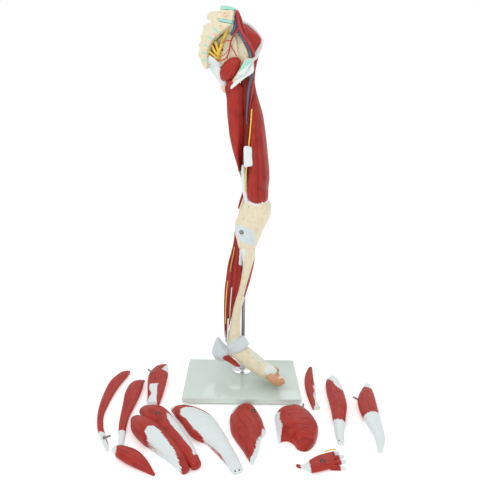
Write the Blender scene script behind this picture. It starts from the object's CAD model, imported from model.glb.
"""The looks of the leg muscle model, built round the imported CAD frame.

Every piece of the leg is made in the leg's own frame: x forwards, y to the outer side and z up
from the plate's top face, with the rod's axis at x = y = 0. A piece that lies on the table is
made from the base plate's nearest front corner. Sizes are metres.
"""
from math import cos, pi, radians, sin

import bmesh
import bpy
import numpy as np
from mathutils import Matrix, Vector
from mathutils.bvhtree import BVHTree


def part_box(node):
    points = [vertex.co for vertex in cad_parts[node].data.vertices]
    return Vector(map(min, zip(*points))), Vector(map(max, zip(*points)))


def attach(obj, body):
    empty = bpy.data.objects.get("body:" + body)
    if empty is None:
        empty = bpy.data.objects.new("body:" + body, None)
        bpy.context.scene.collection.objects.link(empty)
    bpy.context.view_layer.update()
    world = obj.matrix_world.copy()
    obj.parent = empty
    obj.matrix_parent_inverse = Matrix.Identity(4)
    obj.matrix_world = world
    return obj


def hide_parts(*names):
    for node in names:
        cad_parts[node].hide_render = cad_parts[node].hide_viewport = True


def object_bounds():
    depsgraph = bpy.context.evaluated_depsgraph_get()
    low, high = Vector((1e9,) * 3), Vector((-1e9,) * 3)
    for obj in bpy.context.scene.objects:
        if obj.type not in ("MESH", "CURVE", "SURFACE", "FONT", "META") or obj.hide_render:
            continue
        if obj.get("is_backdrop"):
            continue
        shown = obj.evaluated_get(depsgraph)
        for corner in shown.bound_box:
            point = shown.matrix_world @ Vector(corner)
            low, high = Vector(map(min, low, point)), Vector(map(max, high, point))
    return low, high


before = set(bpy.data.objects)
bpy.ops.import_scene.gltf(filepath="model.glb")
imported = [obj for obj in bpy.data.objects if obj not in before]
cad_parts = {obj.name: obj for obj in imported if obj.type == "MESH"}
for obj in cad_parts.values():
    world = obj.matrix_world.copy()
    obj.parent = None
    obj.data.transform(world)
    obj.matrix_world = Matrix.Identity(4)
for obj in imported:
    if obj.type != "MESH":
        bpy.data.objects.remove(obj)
CAD_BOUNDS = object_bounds()

# Places taken from the frame -----------------------------------------------------------------
PLATE_LOW, PLATE_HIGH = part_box("base_plate")
ROD_LOW, ROD_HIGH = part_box("support_rod")
ROD_RADIUS = (ROD_HIGH.x - ROD_LOW.x) / 2
ROD_CENTRE = (ROD_LOW + ROD_HIGH) / 2
LEG_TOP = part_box("lumbar_disc")[1].z
LEG_YAW = radians(-20.0)
LIFE = (LEG_TOP - PLATE_HIGH.z) / 1.080
LEG_TO_WORLD = (Matrix.Translation((ROD_CENTRE.x, ROD_CENTRE.y, PLATE_HIGH.z))
                @ Matrix.Rotation(LEG_YAW, 4, "Z") @ Matrix.Scale(LIFE, 4))
FLOOR_GAP = 0.0003
MIDLINE = -0.100

# Paint colours, linear RGB -------------------------------------------------------------------
RED = (0.38, 0.016, 0.009)
RED_LIGHT = (0.47, 0.040, 0.026)
RED_DEEP = (0.14, 0.004, 0.003)
WHITE = (0.73, 0.80, 0.79)
WHITE_SHADE = (0.55, 0.62, 0.65)
CREAM = (0.76, 0.69, 0.50)
CREAM_SHADE = (0.55, 0.45, 0.27)
TEAL = (0.36, 0.68, 0.58)
PINK = (0.72, 0.25, 0.16)
YELLOW = (0.85, 0.62, 0.07)
ARTERY = (0.46, 0.010, 0.018)
VEIN = (0.085, 0.10, 0.16)
SKIN = (0.50, 0.23, 0.11)
SKIN_LIGHT = (0.60, 0.32, 0.17)


# Numbers -------------------------------------------------------------------------------------
def smoothstep(low, high, x):
    """0 below low, 1 above high, and smooth between them."""
    t = np.clip((np.asarray(x, float) - low) / (high - low), 0.0, 1.0)
    return t * t * (3 - 2 * t)


def wander(x, seed, scale):
    """A smooth aimless curve of x between about -1 and 1, the same for the same seed."""
    total = 0.0
    for octave in range(4):
        phase = seed * 2.399 + octave * 1.713
        wave = np.sin(np.asarray(x) / scale * (1.0 + 0.83 * octave) + phase)
        total = total + wave / (1 + octave)
    return total / 2.1


def spline(values, samples):
    """Catmull-Rom through rows of values, sampled evenly by row, with the row positions."""
    rows = np.asarray(values, float)
    padded = np.vstack([2 * rows[0] - rows[1], rows, 2 * rows[-1] - rows[-2]])
    where = np.linspace(0, len(rows) - 1, samples)
    k = np.minimum(where.astype(int), len(rows) - 2)
    t = (where - k)[:, None]
    a, b, c, d = padded[k], padded[k + 1], padded[k + 2], padded[k + 3]
    return 0.5 * (2 * b + (c - a) * t + (2 * a - 5 * b + 4 * c - d) * t ** 2
                  + (3 * b - 3 * c + d - a) * t ** 3)


# Meshes --------------------------------------------------------------------------------------
def grid_mesh(name, points, uv=None, attributes=None):
    """A closed mesh from a grid of rings by points, with a fan at each end."""
    rings, around = points.shape[:2]
    verts = points.reshape(-1, 3)
    ends = [points[0].mean(axis=0), points[-1].mean(axis=0)]
    verts = np.vstack([verts, ends])
    index = np.arange(rings * around).reshape(rings, around)
    a, b = index[:-1], np.roll(index[:-1], -1, axis=1)
    c, d = np.roll(index[1:], -1, axis=1), index[1:]
    quads = np.stack([a, b, c, d], axis=-1).reshape(-1, 4)
    first, last = rings * around, rings * around + 1
    fans = [(first, index[0][(i + 1) % around], index[0][i]) for i in range(around)]
    fans += [(last, index[-1][i], index[-1][(i + 1) % around]) for i in range(around)]
    mesh = bpy.data.meshes.new(name)
    mesh.from_pydata(verts.tolist(), [], quads.tolist() + fans)
    if uv is not None:
        layer = mesh.uv_layers.new(name="UVMap")
        wrapped = uv_corners(uv, rings, around, len(fans))
        layer.data.foreach_set("uv", wrapped.ravel())
    for key, values in (attributes or {}).items():
        attribute = mesh.attributes.new(key, "FLOAT", "POINT")
        flat = np.concatenate([values.ravel(), [values[0].mean(), values[-1].mean()]])
        attribute.data.foreach_set("value", flat.astype(np.float32))
    mesh.validate()
    return mesh


def uv_corners(uv, rings, around, fan_count):
    """UVs for each face corner of a ring grid, without a jump where the rings close."""
    u, v = uv
    wide = np.concatenate([u, u[:, :1] + (u[:, -1:] - u[:, :1]) * around / (around - 1)], axis=1)
    tall = np.concatenate([v, v[:, :1]], axis=1)
    corner = np.stack([wide, tall], axis=-1)
    quads = np.stack([corner[:-1, :-1], corner[:-1, 1:], corner[1:, 1:], corner[1:, :-1]], axis=2)
    fans = np.repeat(np.stack([corner[0, :1], corner[-1, :1]]), fan_count // 2, axis=0)
    fans = np.repeat(fans, 3, axis=0).reshape(-1, 2)
    return np.concatenate([quads.reshape(-1, 2), fans])


def outward(mesh):
    """Turn every face of a closed mesh outwards."""
    work = bmesh.new()
    work.from_mesh(mesh)
    bmesh.ops.recalc_face_normals(work, faces=work.faces)
    work.to_mesh(mesh)
    work.free()


def add_piece(name, mesh, body, slot, paint, replaces=(), in_leg=True):
    """Put a piece in the scene, on its body, with its material and the nodes it stands for."""
    if in_leg:
        mesh.transform(LEG_TO_WORLD)
    mesh.update()
    mesh.shade_smooth()
    piece = bpy.data.objects.new(name, mesh)
    piece.data.materials.clear()
    piece.data.materials.append(paint)
    bpy.context.scene.collection.objects.link(piece)
    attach(piece, body)
    if replaces:
        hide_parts(*replaces)
    return piece


def section(angle, half_x, half_y, power):
    """A superellipse's points at some angles."""
    c, s = np.cos(angle), np.sin(angle)
    x = np.sign(c) * np.abs(c) ** (2 / power)
    y = np.sign(s) * np.abs(s) ** (2 / power)
    return half_x * x, half_y * y


def loft(stations, along=90, around=72, power=2.3, level=False, up=(0, 0, 1), cap=0.6,
         relief=None, side=None):
    """Rings of a soft form through stations x, y, z, half-width, half-height (and heading).

    With level, the rings stay horizontal, and the half-sizes are along x and y, turned by the
    heading in degrees. Otherwise they stand square to the path, across and up, or with side
    given, along that direction. relief(v, u, angle) is a height off the surface, where v is
    the distance along and u the distance round. Returns points, UVs and the same v and angle.
    """
    rows = [tuple(station) + (0.0,) * (6 - len(station)) for station in stations]
    path = spline(rows, along)
    centre, half_a, half_b, heading = path[:, :3], path[:, 3], path[:, 4], np.radians(path[:, 5])
    half_a, half_b = np.maximum(half_a, 0.0004), np.maximum(half_b, 0.0004)
    step = np.gradient(centre, axis=0)
    tangent = step / np.linalg.norm(step, axis=1)[:, None]
    centre, half_a, half_b, heading, tangent = rounded_ends(
        centre, half_a, half_b, heading, tangent, cap)
    if level:
        side_dir = np.stack([np.cos(heading), np.sin(heading), 0 * heading], axis=1)
        top_dir = np.stack([-np.sin(heading), np.cos(heading), 0 * heading], axis=1)
    else:
        side_dir = np.cross(tangent, np.array(up, float))
        if side is not None:
            side_dir = np.broadcast_to(np.array(side, float), tangent.shape)
        side_dir = side_dir / np.linalg.norm(side_dir, axis=1)[:, None]
        top_dir = np.cross(side_dir, tangent)
        if side is not None:
            top_dir = np.broadcast_to(np.array(up, float), tangent.shape)
    angle = np.linspace(0, 2 * pi, around, endpoint=False)[None, :]
    across, high = section(angle, half_a[:, None], half_b[:, None], power)
    run = np.concatenate([[0], np.cumsum(np.linalg.norm(np.diff(centre, axis=0), axis=1))])
    girth = (half_a + half_b)[:, None] / 2 * angle
    v = np.broadcast_to(run[:, None], girth.shape)
    points = (centre[:, None, :] + across[..., None] * side_dir[:, None, :]
              + high[..., None] * top_dir[:, None, :])
    if relief is not None:
        girth_mean = (half_a.max() + half_b.max()) / 2 * angle + 0 * v
        height = relief(v, girth_mean, angle + 0 * v)
        fade = np.minimum(1.0, np.minimum(half_a, half_b) / 0.008)[:, None]
        normal = ring_normals(points)
        points = points + normal * (height * fade)[..., None]
    return points, (girth, v), v, angle + 0 * v


def rounded_ends(centre, half_a, half_b, heading, tangent, cap):
    """Add a few shrinking rings beyond each end of a path, for a round end."""
    steps = np.sin(np.linspace(0, pi / 2, 6))[1:]
    shrink = np.sqrt(np.maximum(1 - steps ** 2, 0.0004))
    parts = []
    for end, sign in ((0, -1), (-1, 1)):
        reach = min(half_a[end], half_b[end]) * cap
        extra = centre[end] + sign * tangent[end] * (steps * reach)[:, None]
        parts.append((extra, half_a[end] * shrink, half_b[end] * shrink,
                      np.full(5, heading[end]), np.tile(tangent[end], (5, 1))))
    low, high = parts
    flip = [value[::-1] for value in low]
    middle = (centre, half_a, half_b, heading, tangent)
    return tuple(np.concatenate([a, b, c]) for a, b, c in zip(flip, middle, high))


def ring_normals(points):
    """Outward directions on a ring grid."""
    around = np.roll(points, -1, axis=1) - np.roll(points, 1, axis=1)
    along = np.gradient(points, axis=0)
    normal = np.cross(around, along)
    size = np.linalg.norm(normal, axis=2)[..., None]
    normal = normal / np.maximum(size, 1e-12)
    outside = points - points.mean(axis=1)[:, None, :]
    if (normal * outside).sum() < 0:
        normal = -normal
    return normal


def fibres(seed, pitch=0.0035, depth=0.00035, bundle=0.016, bundle_depth=0.0009, slant=0.0):
    """Muscle fibres: fine parallel grooves within broader bundles, running along the piece."""
    def relief(v, u, angle):
        lean = u + slant * v
        drift = 0.0030 * wander(v, seed, 0.045) + 0.0012 * wander(v + 3 * u, seed + 1, 0.016)
        fine = np.abs(np.sin(pi * (lean + drift) / pitch))
        broad = np.abs(np.sin(pi * (lean + 1.5 * drift) / bundle + seed))
        patchy = 0.65 + 0.35 * wander(u * 2.3 + v, seed + 2, 0.02)
        return -depth * patchy * (1 - fine) ** 2 - bundle_depth * patchy * (1 - broad) ** 3
    return relief


def cord_mesh(name, points, radius, sides=12, samples=40, taper=None, wobble=0.0):
    """A round strand along points, thinner towards its end where taper is given."""
    path = spline(points, samples)
    thick = np.linspace(1.0, taper if taper else 1.0, samples) * radius
    thick = thick * (1 + wobble * wander(np.linspace(0, 1, samples), 3.0, 0.05))
    rows = np.column_stack([path, thick, thick])
    rings, uv, v, angle = loft(rows, along=samples, around=sides, power=2.0, cap=1.0,
                               up=(0.31, 0.87, 0.38))
    mesh = grid_mesh(name, rings, uv)
    outward(mesh)
    return mesh


def joined(name, meshes):
    """One mesh of several."""
    work = bmesh.new()
    for mesh in meshes:
        work.from_mesh(mesh)
    result = bpy.data.meshes.new(name)
    work.to_mesh(result)
    work.free()
    return result


def fused(name, meshes, voxel, smooth=4):
    """Several overlapping closed meshes as one smooth skin, by a voxel remesh."""
    holder = bpy.data.objects.new(name, joined(name, meshes))
    bpy.context.scene.collection.objects.link(holder)
    remesh = holder.modifiers.new("fuse", "REMESH")
    remesh.mode = "VOXEL"
    remesh.voxel_size = voxel
    remesh.use_smooth_shade = True
    soften = holder.modifiers.new("soften", "SMOOTH")
    soften.factor = 0.5
    soften.iterations = smooth
    bpy.context.view_layer.update()
    graph = bpy.context.evaluated_depsgraph_get()
    mesh = bpy.data.meshes.new_from_object(holder.evaluated_get(graph))
    bpy.data.objects.remove(holder)
    return mesh


def bored(mesh):
    """The same mesh with the upright hole that the rod's bush sits in cut out of it."""
    low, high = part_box("rod_bush")
    tool = lathe_mesh([((high.x - low.x) / 2 / LIFE + 0.0005, side) for side in (-0.2, 0.0)], 64)
    top = (high.z - PLATE_HIGH.z) / LIFE + 0.0005
    tool.transform(Matrix.Translation((0.0, 0.0, top)))
    holders = [bpy.data.objects.new("bore", item) for item in (mesh, tool)]
    for holder in holders:
        bpy.context.scene.collection.objects.link(holder)
    cut = holders[0].modifiers.new("cut", "BOOLEAN")
    cut.operation = "DIFFERENCE"
    cut.solver = "EXACT"
    cut.object = holders[1]
    bpy.context.view_layer.update()
    graph = bpy.context.evaluated_depsgraph_get()
    result = bpy.data.meshes.new_from_object(holders[0].evaluated_get(graph))
    for holder in holders:
        bpy.data.objects.remove(holder)
    return result


def vertex_points(mesh):
    """A mesh's vertices as an array."""
    flat = np.empty(len(mesh.vertices) * 3, np.float32)
    mesh.vertices.foreach_get("co", flat)
    return flat.reshape(-1, 3).astype(float)


def set_mask(mesh, key, values):
    """Store a number for each vertex."""
    attribute = mesh.attributes.get(key) or mesh.attributes.new(key, "FLOAT", "POINT")
    attribute.data.foreach_set("value", np.asarray(values, np.float32))


def loft_mesh(stations, **shape):
    """Just the mesh of a loft, for fusing."""
    points = loft(stations, **shape)[0]
    mesh = grid_mesh("part", points)
    outward(mesh)
    return mesh


# Paint ---------------------------------------------------------------------------------------
class Paint:
    """A material's node tree, with short ways to add what the paints share."""

    def __init__(self, name, roughness=0.4, metallic=0.0):
        self.material = bpy.data.materials.new(name)
        self.material.use_nodes = True
        self.nodes = self.material.node_tree.nodes
        self.links = self.material.node_tree.links
        self.shader = self.nodes["Principled BSDF"]
        self.shader.inputs["Roughness"].default_value = roughness
        self.shader.inputs["Metallic"].default_value = metallic

    def node(self, kind, **settings):
        made = self.nodes.new(kind)
        for key, value in settings.items():
            setattr(made, key, value)
        return made

    def wire(self, source, target):
        self.links.new(source, target)

    def coordinates(self, scale, space="Object"):
        """Texture coordinates, stretched by a scale for each axis."""
        source = self.node("ShaderNodeTexCoord")
        stretch = self.node("ShaderNodeMapping")
        stretch.inputs["Scale"].default_value = scale
        self.wire(source.outputs[space], stretch.inputs["Vector"])
        return stretch.outputs["Vector"]

    def noise(self, vector, detail=3.0, roughness=0.55):
        made = self.node("ShaderNodeTexNoise")
        made.inputs["Scale"].default_value = 1.0
        made.inputs["Detail"].default_value = detail
        made.inputs["Roughness"].default_value = roughness
        self.wire(vector, made.inputs["Vector"])
        return made.outputs["Fac"]

    def math(self, operation, first, second, clamp=False):
        made = self.node("ShaderNodeMath", operation=operation, use_clamp=clamp)
        for slot, value in zip(made.inputs, (first, second)):
            if hasattr(value, "links"):
                self.wire(value, slot)
            else:
                slot.default_value = value
        return made.outputs[0]

    def ramp(self, factor, low, high, invert=False):
        """0 below low and 1 above high."""
        made = self.node("ShaderNodeMapRange", interpolation_type="SMOOTHSTEP")
        made.inputs["From Min"].default_value = low
        made.inputs["From Max"].default_value = high
        made.inputs["To Min"].default_value = 1.0 if invert else 0.0
        made.inputs["To Max"].default_value = 0.0 if invert else 1.0
        self.wire(factor, made.inputs["Value"])
        return made.outputs["Result"]

    def mix(self, factor, first, second):
        """A colour mix, where a colour is a tuple or another mix."""
        made = self.node("ShaderNodeMix", data_type="RGBA")
        if hasattr(factor, "links"):
            self.wire(factor, made.inputs[0])
        else:
            made.inputs[0].default_value = factor
        for slot, value in ((6, first), (7, second)):
            if hasattr(value, "links"):
                self.wire(value, made.inputs[slot])
            else:
                made.inputs[slot].default_value = (*value, 1.0)
        return made.outputs[2]

    def weighted(self, first, first_share, second, second_share):
        """The sum of two values, each times its share."""
        return self.math("ADD", self.math("MULTIPLY", first, first_share),
                         self.math("MULTIPLY", second, second_share))

    def torn(self, key, noise, amount):
        """A mask from a mesh attribute, with its edge broken up by noise."""
        mask = self.attribute(key)
        spread = self.math("MULTIPLY", self.math("SUBTRACT", noise, 0.5), amount)
        return self.math("ADD", mask, spread)

    def attribute(self, key):
        made = self.node("ShaderNodeAttribute", attribute_name=key)
        return made.outputs["Fac"]

    def bump(self, height, distance, strength=1.0):
        made = self.node("ShaderNodeBump")
        made.inputs["Distance"].default_value = distance
        made.inputs["Strength"].default_value = strength
        self.wire(height, made.inputs["Height"])
        self.wire(made.outputs["Normal"], self.shader.inputs["Normal"])

    def finish(self, colour):
        if hasattr(colour, "links"):
            self.wire(colour, self.shader.inputs["Base Color"])
        else:
            self.shader.inputs["Base Color"].default_value = (*colour, 1.0)
        return self.material


def hand_paint(name, colour, shade, roughness=0.42, mottling=90.0, coat=0.12):
    """Brushed satin paint on a moulding: soft mottling, a darker wash and fine brush marks."""
    paint = Paint(name, roughness)
    paint.shader.inputs["Coat Weight"].default_value = coat
    paint.shader.inputs["Coat Roughness"].default_value = 0.3
    broad = paint.noise(paint.coordinates((mottling, mottling, mottling)), 4.0)
    brush = paint.noise(paint.coordinates((900, 900, 160)), 2.0)
    wash = paint.ramp(broad, 0.38, 0.78)
    colour_mix = paint.mix(paint.math("MULTIPLY", wash, 0.38), colour, shade)
    paint.bump(paint.weighted(broad, 0.6, brush, 0.4), 0.00035, 0.5)
    return paint.finish(colour_mix)


def muscle_paint(name, red=RED, light=RED_LIGHT, deep=RED_DEEP):
    """Muscle red with fine fibre streaks, and tendon white where the tendon mask is above 0.5.

    The mask's edge is broken along the fibres, as a painter's dry brush leaves it.
    """
    paint = Paint(name, 0.40)
    paint.shader.inputs["Specular IOR Level"].default_value = 0.30
    streak = paint.noise(paint.coordinates((520, 22, 1), "UV"), 3.0)
    patch = paint.noise(paint.coordinates((38, 38, 38)), 3.0)
    fine = paint.noise(paint.coordinates((1500, 60, 1), "UV"), 2.0)
    body = paint.mix(paint.ramp(streak, 0.30, 0.75), red, light)
    body = paint.mix(paint.math("MULTIPLY", paint.ramp(patch, 0.45, 0.80), 0.55), body, deep)
    body = paint.mix(paint.math("MULTIPLY", paint.attribute("groove"), 0.75), body, deep)
    pale = paint.mix(paint.math("MULTIPLY", paint.ramp(fine, 0.45, 0.75), 0.55), WHITE,
                     WHITE_SHADE)
    edge = paint.ramp(paint.torn("tendon", streak, 0.9), 0.47, 0.55)
    paint.bump(paint.weighted(streak, 0.7, fine, 0.3), 0.0007, 0.55)
    return paint.finish(paint.mix(edge, body, pale))


def metal_paint(name, colour, roughness, scratch=0.0):
    """Bare metal with faint turning marks."""
    paint = Paint(name, roughness, 1.0)
    marks = paint.noise(paint.coordinates((40, 40, 2600)), 2.0)
    tint = paint.mix(paint.math("MULTIPLY", marks, 0.25), colour,
                     tuple(0.8 * channel for channel in colour))
    if scratch:
        paint.bump(marks, 0.0001, scratch)
    return paint.finish(tint)


def plate_paint():
    """Pale green-grey moulded plastic, glossy, with the faint ripple of a moulding."""
    paint = Paint("plate_gloss", 0.07)
    ripple = paint.noise(paint.coordinates((14, 14, 14)), 2.0)
    speck = paint.noise(paint.coordinates((420, 420, 420)), 2.0)
    tint = paint.mix(paint.math("MULTIPLY", paint.ramp(ripple, 0.35, 0.7), 0.4),
                     (0.62, 0.72, 0.66), (0.59, 0.69, 0.63))
    paint.bump(paint.weighted(ripple, 0.85, speck, 0.15), 0.0004, 0.08)
    return paint.finish(tint)


def masked_bone_paint(name):
    """Cream bone with masks for cartilage teal, pink marrow specks and pale ligament white."""
    paint = Paint(name, 0.42)
    paint.shader.inputs["Coat Weight"].default_value = 0.12
    paint.shader.inputs["Coat Roughness"].default_value = 0.3
    broad = paint.noise(paint.coordinates((90, 90, 90)), 4.0)
    fine = paint.noise(paint.coordinates((650, 650, 650)), 3.0)
    bone = paint.mix(paint.math("MULTIPLY", paint.ramp(broad, 0.40, 0.78), 0.4), CREAM,
                     CREAM_SHADE)
    specks = paint.ramp(fine, 0.50, 0.60)
    marrow = paint.math("MULTIPLY", specks, paint.attribute("marrow"), clamp=True)
    bone = paint.mix(marrow, bone, PINK)
    worn = paint.torn("cartilage", broad, 0.5)
    bone = paint.mix(paint.ramp(worn, 0.45, 0.55), bone, TEAL)
    pale = paint.torn("tendon", fine, 0.6)
    bone = paint.mix(paint.ramp(pale, 0.42, 0.58), bone, WHITE)
    flesh = paint.torn("flesh", fine, 0.6)
    bone = paint.mix(paint.ramp(flesh, 0.45, 0.55), bone, RED)
    paint.bump(paint.weighted(broad, 0.6, fine, 0.4), 0.0004, 0.5)
    return paint.finish(bone)


MUSCLE_PAINT = muscle_paint("muscle_red")
BONE_MASKED = masked_bone_paint("bone_masked")
WHITE_PAINT = hand_paint("tendon_white", WHITE, WHITE_SHADE, mottling=60.0)
TEAL_PAINT = hand_paint("cartilage_teal", TEAL, (0.26, 0.62, 0.55))
YELLOW_PAINT = hand_paint("nerve_yellow", YELLOW, (0.66, 0.34, 0.02))
ARTERY_PAINT = hand_paint("artery_red", ARTERY, (0.22, 0.004, 0.006), 0.3, coat=0.4)
VEIN_PAINT = hand_paint("vein_blue", VEIN, (0.10, 0.125, 0.19), 0.35, coat=0.3)
CHROME = metal_paint("chrome", (0.80, 0.80, 0.82), 0.06)
ROD_STEEL = metal_paint("steel_rod", (0.30, 0.29, 0.29), 0.22)
STEEL = metal_paint("steel", (0.55, 0.53, 0.50), 0.28, 0.4)
DARK_STEEL = metal_paint("steel_dark", (0.10, 0.10, 0.10), 0.35)
RING_STEEL = metal_paint("steel_ring", (0.12, 0.12, 0.12), 0.30)
PIN_STEEL = metal_paint("steel_pin", (0.34, 0.33, 0.31), 0.30, 0.4)
DEEP_PAINT = muscle_paint("muscle_deep", (0.20, 0.012, 0.010), (0.30, 0.03, 0.025),
                          (0.07, 0.003, 0.003))
GREY_WHITE_PAINT = hand_paint("tendon_grey", (0.63, 0.70, 0.72), (0.47, 0.54, 0.57),
                              mottling=60.0)
SKIN_PAINT = hand_paint("toe_skin", SKIN_LIGHT, SKIN)
NAIL_PAINT = hand_paint("toe_nail", (0.80, 0.56, 0.42), SKIN_LIGHT, 0.3)
RUBBER_PAINT = hand_paint("rubber_black", (0.025, 0.025, 0.026), (0.05, 0.05, 0.05), 0.8,
                          coat=0.0)
PLATE_PAINT = plate_paint()


# More shapes ---------------------------------------------------------------------------------
def closed_curve(outline, samples):
    """A smooth closed curve through outline points, as an array of points."""
    points = np.asarray(outline, float)
    count = len(points)
    where = np.linspace(0, count, samples, endpoint=False)
    k = where.astype(int)
    t = (where - k)[:, None]
    a, b = points[(k - 1) % count], points[k % count]
    c, d = points[(k + 1) % count], points[(k + 2) % count]
    return 0.5 * (2 * b + (c - a) * t + (2 * a - 5 * b + 4 * c - d) * t ** 2
                  + (3 * b - 3 * c + d - a) * t ** 3)


def slab_mesh(outline, slices, samples=90):
    """A smooth side outline (x, z) set across the leg at y values, scaled towards a centre."""
    rim = closed_curve(outline, samples)
    work = bmesh.new()
    loops = []
    for y, scale, centre_x, centre_z in slices:
        ring = np.array((centre_x, centre_z)) + (rim - (centre_x, centre_z)) * scale
        loops.append([work.verts.new((x, y, z)) for x, z in ring])
    for lower, upper in zip(loops, loops[1:]):
        for i in range(samples):
            j = (i + 1) % samples
            work.faces.new((lower[i], lower[j], upper[j], upper[i]))
    work.faces.new(list(reversed(loops[0])))
    work.faces.new(loops[-1])
    bmesh.ops.recalc_face_normals(work, faces=work.faces)
    mesh = bpy.data.meshes.new("slab")
    work.to_mesh(mesh)
    work.free()
    return mesh


def ball_mesh(centre, radius, squash=(1, 1, 1)):
    """A ball, stretched along the axes."""
    work = bmesh.new()
    bmesh.ops.create_icosphere(work, subdivisions=3, radius=radius)
    bmesh.ops.scale(work, verts=work.verts, vec=squash)
    bmesh.ops.translate(work, verts=work.verts, vec=centre)
    mesh = bpy.data.meshes.new("ball")
    work.to_mesh(mesh)
    work.free()
    return mesh


def lathe_mesh(profile, sides=96):
    """A profile of (radius, height) points, turned about Z."""
    radii = np.array([max(radius, 0.00001) for radius, height in profile])
    heights = np.array([height for radius, height in profile])
    angle = np.linspace(0, 2 * pi, sides, endpoint=False)
    points = np.stack([radii[:, None] * np.cos(angle), radii[:, None] * np.sin(angle),
                       heights[:, None] + 0 * angle], axis=2)
    mesh = grid_mesh("turned", points)
    outward(mesh)
    return mesh


def signed_distance(x, y, outline):
    """How far points are inside an outline. Outside it is negative."""
    best = np.full(np.shape(x), 1e9)
    within = np.zeros(np.shape(x), bool)
    for (ax, ay), (bx, by) in zip(outline, outline[1:] + outline[:1]):
        edge_x, edge_y = bx - ax, by - ay
        length = edge_x ** 2 + edge_y ** 2
        t = np.clip(((x - ax) * edge_x + (y - ay) * edge_y) / length, 0, 1)
        best = np.minimum(best, np.hypot(x - ax - t * edge_x, y - ay - t * edge_y))
        if ay != by:
            crossing = ax + (y - ay) / (by - ay) * edge_x
            within ^= ((ay > y) != (by > y)) & (x < crossing)
    return np.where(within, best, -best)


def brushed(distance, soft=0.016):
    """A mask from a signed distance: 0.5 on the edge of the painted area."""
    return np.clip(0.5 + distance / soft, 0.0, 1.0)


class Surface:
    """A leg piece's inner side, or its top if turned, for laying thin things on."""

    def __init__(self, piece, turned=False):
        inverse = LEG_TO_WORLD.inverted()
        self.turned = turned
        self.tree = BVHTree.FromPolygons([inverse @ vertex.co for vertex in piece.data.vertices],
                                         [face.vertices[:] for face in piece.data.polygons])

    def depth(self, x, z):
        """The y of the surface at a place on the leg's inner side."""
        hit = self.tree.ray_cast(Vector((x, -0.3, z)), Vector((0, 1, 0)))[0]
        if hit is None:
            hit = self.tree.find_nearest(Vector((x, -0.08, z)))[0]
        return hit.y

    def height(self, x, y):
        """The z of the surface's top at a place."""
        hit = self.tree.ray_cast(Vector((x, y, 0.3)), Vector((0, 0, -1)))[0]
        if hit is None:
            hit = self.tree.find_nearest(Vector((x, y, 0.1)))[0]
        return hit.z

    def route(self, places, proud):
        """Points just off the surface at some places x, z, or x, y if turned."""
        if self.turned:
            return [(x, y, self.height(x, y) + proud) for x, y in places]
        return [(x, self.depth(x, z) - proud, z) for x, z in places]

    def patch(self, name, outline, proud):
        """A thin sheet over the surface inside an outline of x, z."""
        rim = closed_curve(outline, 120)
        centre = rim.mean(axis=0)
        top = np.concatenate([np.linspace(0.04, 0.94, 20), [0.97, 1.0]])
        rings = []
        for scale in top:
            plan = centre + (rim - centre) * scale
            sink = 0.0 if scale < 0.95 else (scale - 0.95) / 0.05
            depth = [self.depth(x, z) - proud * (1 - sink ** 2) for x, z in plan]
            rings.append(np.column_stack([plan[:, 0], depth, plan[:, 1]]))
        under = [ring + (0.0, 0.0015 + 2 * proud, 0.0) for ring in rings[::-4]]
        mesh = grid_mesh(name, np.array(rings + under))
        outward(mesh)
        return mesh


# Leg pieces ----------------------------------------------------------------------------------
def belly(name, stations, masks=None, replaces=(), paint=None, slot="muscle_red", seed=1.0,
          level=True, relief=None, **shape):
    """A muscle belly of the leg, with fibres and its tendon mask from points in the leg frame."""
    texture = relief or fibres(seed)
    points, uv, v, angle = loft(stations, level=level, relief=texture, **shape)
    grooves = texture(v, angle * 0.03, angle)
    attributes = {"groove": np.clip(-grooves / 0.0011, 0, 1), "tendon": np.zeros(v.shape)}
    if masks is not None:
        attributes["tendon"] = masks(points[..., 0], points[..., 1], points[..., 2])
    mesh = grid_mesh(name, points, uv, attributes)
    outward(mesh)
    return add_piece(name, mesh, "leg", slot, paint or MUSCLE_PAINT, replaces)


def vessel(name, paint, slot, routes, replaces=()):
    """A vessel or nerve of the leg, with its branches. A route is points, radius and taper."""
    strands = [cord_mesh("strand", points, radius, taper=taper, samples=8 * len(points))
               for points, radius, taper in routes]
    return add_piece(name, joined(name, strands), "leg", slot, paint, replaces)


def bone(name, meshes, replaces=(), voxel=0.0014, smooth=5, masks=None, paint=None,
         slot="bone_cream", bush_hole=False):
    """A bone fused from several shapes, with masks from points in the leg frame."""
    mesh = fused(name, meshes, voxel, smooth)
    if bush_hole:
        mesh = bored(mesh)
    x, y, z = vertex_points(mesh).T
    values = {"cartilage": 0 * x, "marrow": 0 * x, "tendon": 0 * x, "flesh": 0 * x}
    if masks is not None:
        values.update(masks(x, y, z))
    for key, value in values.items():
        set_mask(mesh, key, value)
    return add_piece(name, mesh, "leg", slot, paint or BONE_MASKED, replaces)


def spot(x, z, centre_x, centre_z, radius_x, radius_z, tilt=0.0):
    """1 at the centre of an ellipse on the cut face, 0 at its edge and outside."""
    c, s = cos(radians(tilt)), sin(radians(tilt))
    u = ((x - centre_x) * c + (z - centre_z) * s) / radius_x
    w = (-(x - centre_x) * s + (z - centre_z) * c) / radius_z
    return np.clip(1.25 - np.hypot(u, w) ** 2, 0, 1)


def strip(x, z, start, end, half):
    """A mask that is over 0.5 within half a width of a line on the cut face."""
    (ax, az), (bx, bz) = start, end
    length = (bx - ax) ** 2 + (bz - az) ** 2
    t = np.clip(((x - ax) * (bx - ax) + (z - az) * (bz - az)) / length, 0, 1)
    gap = np.hypot(x - ax - t * (bx - ax), z - az - t * (bz - az))
    return brushed(half - gap, 0.004)


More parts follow.
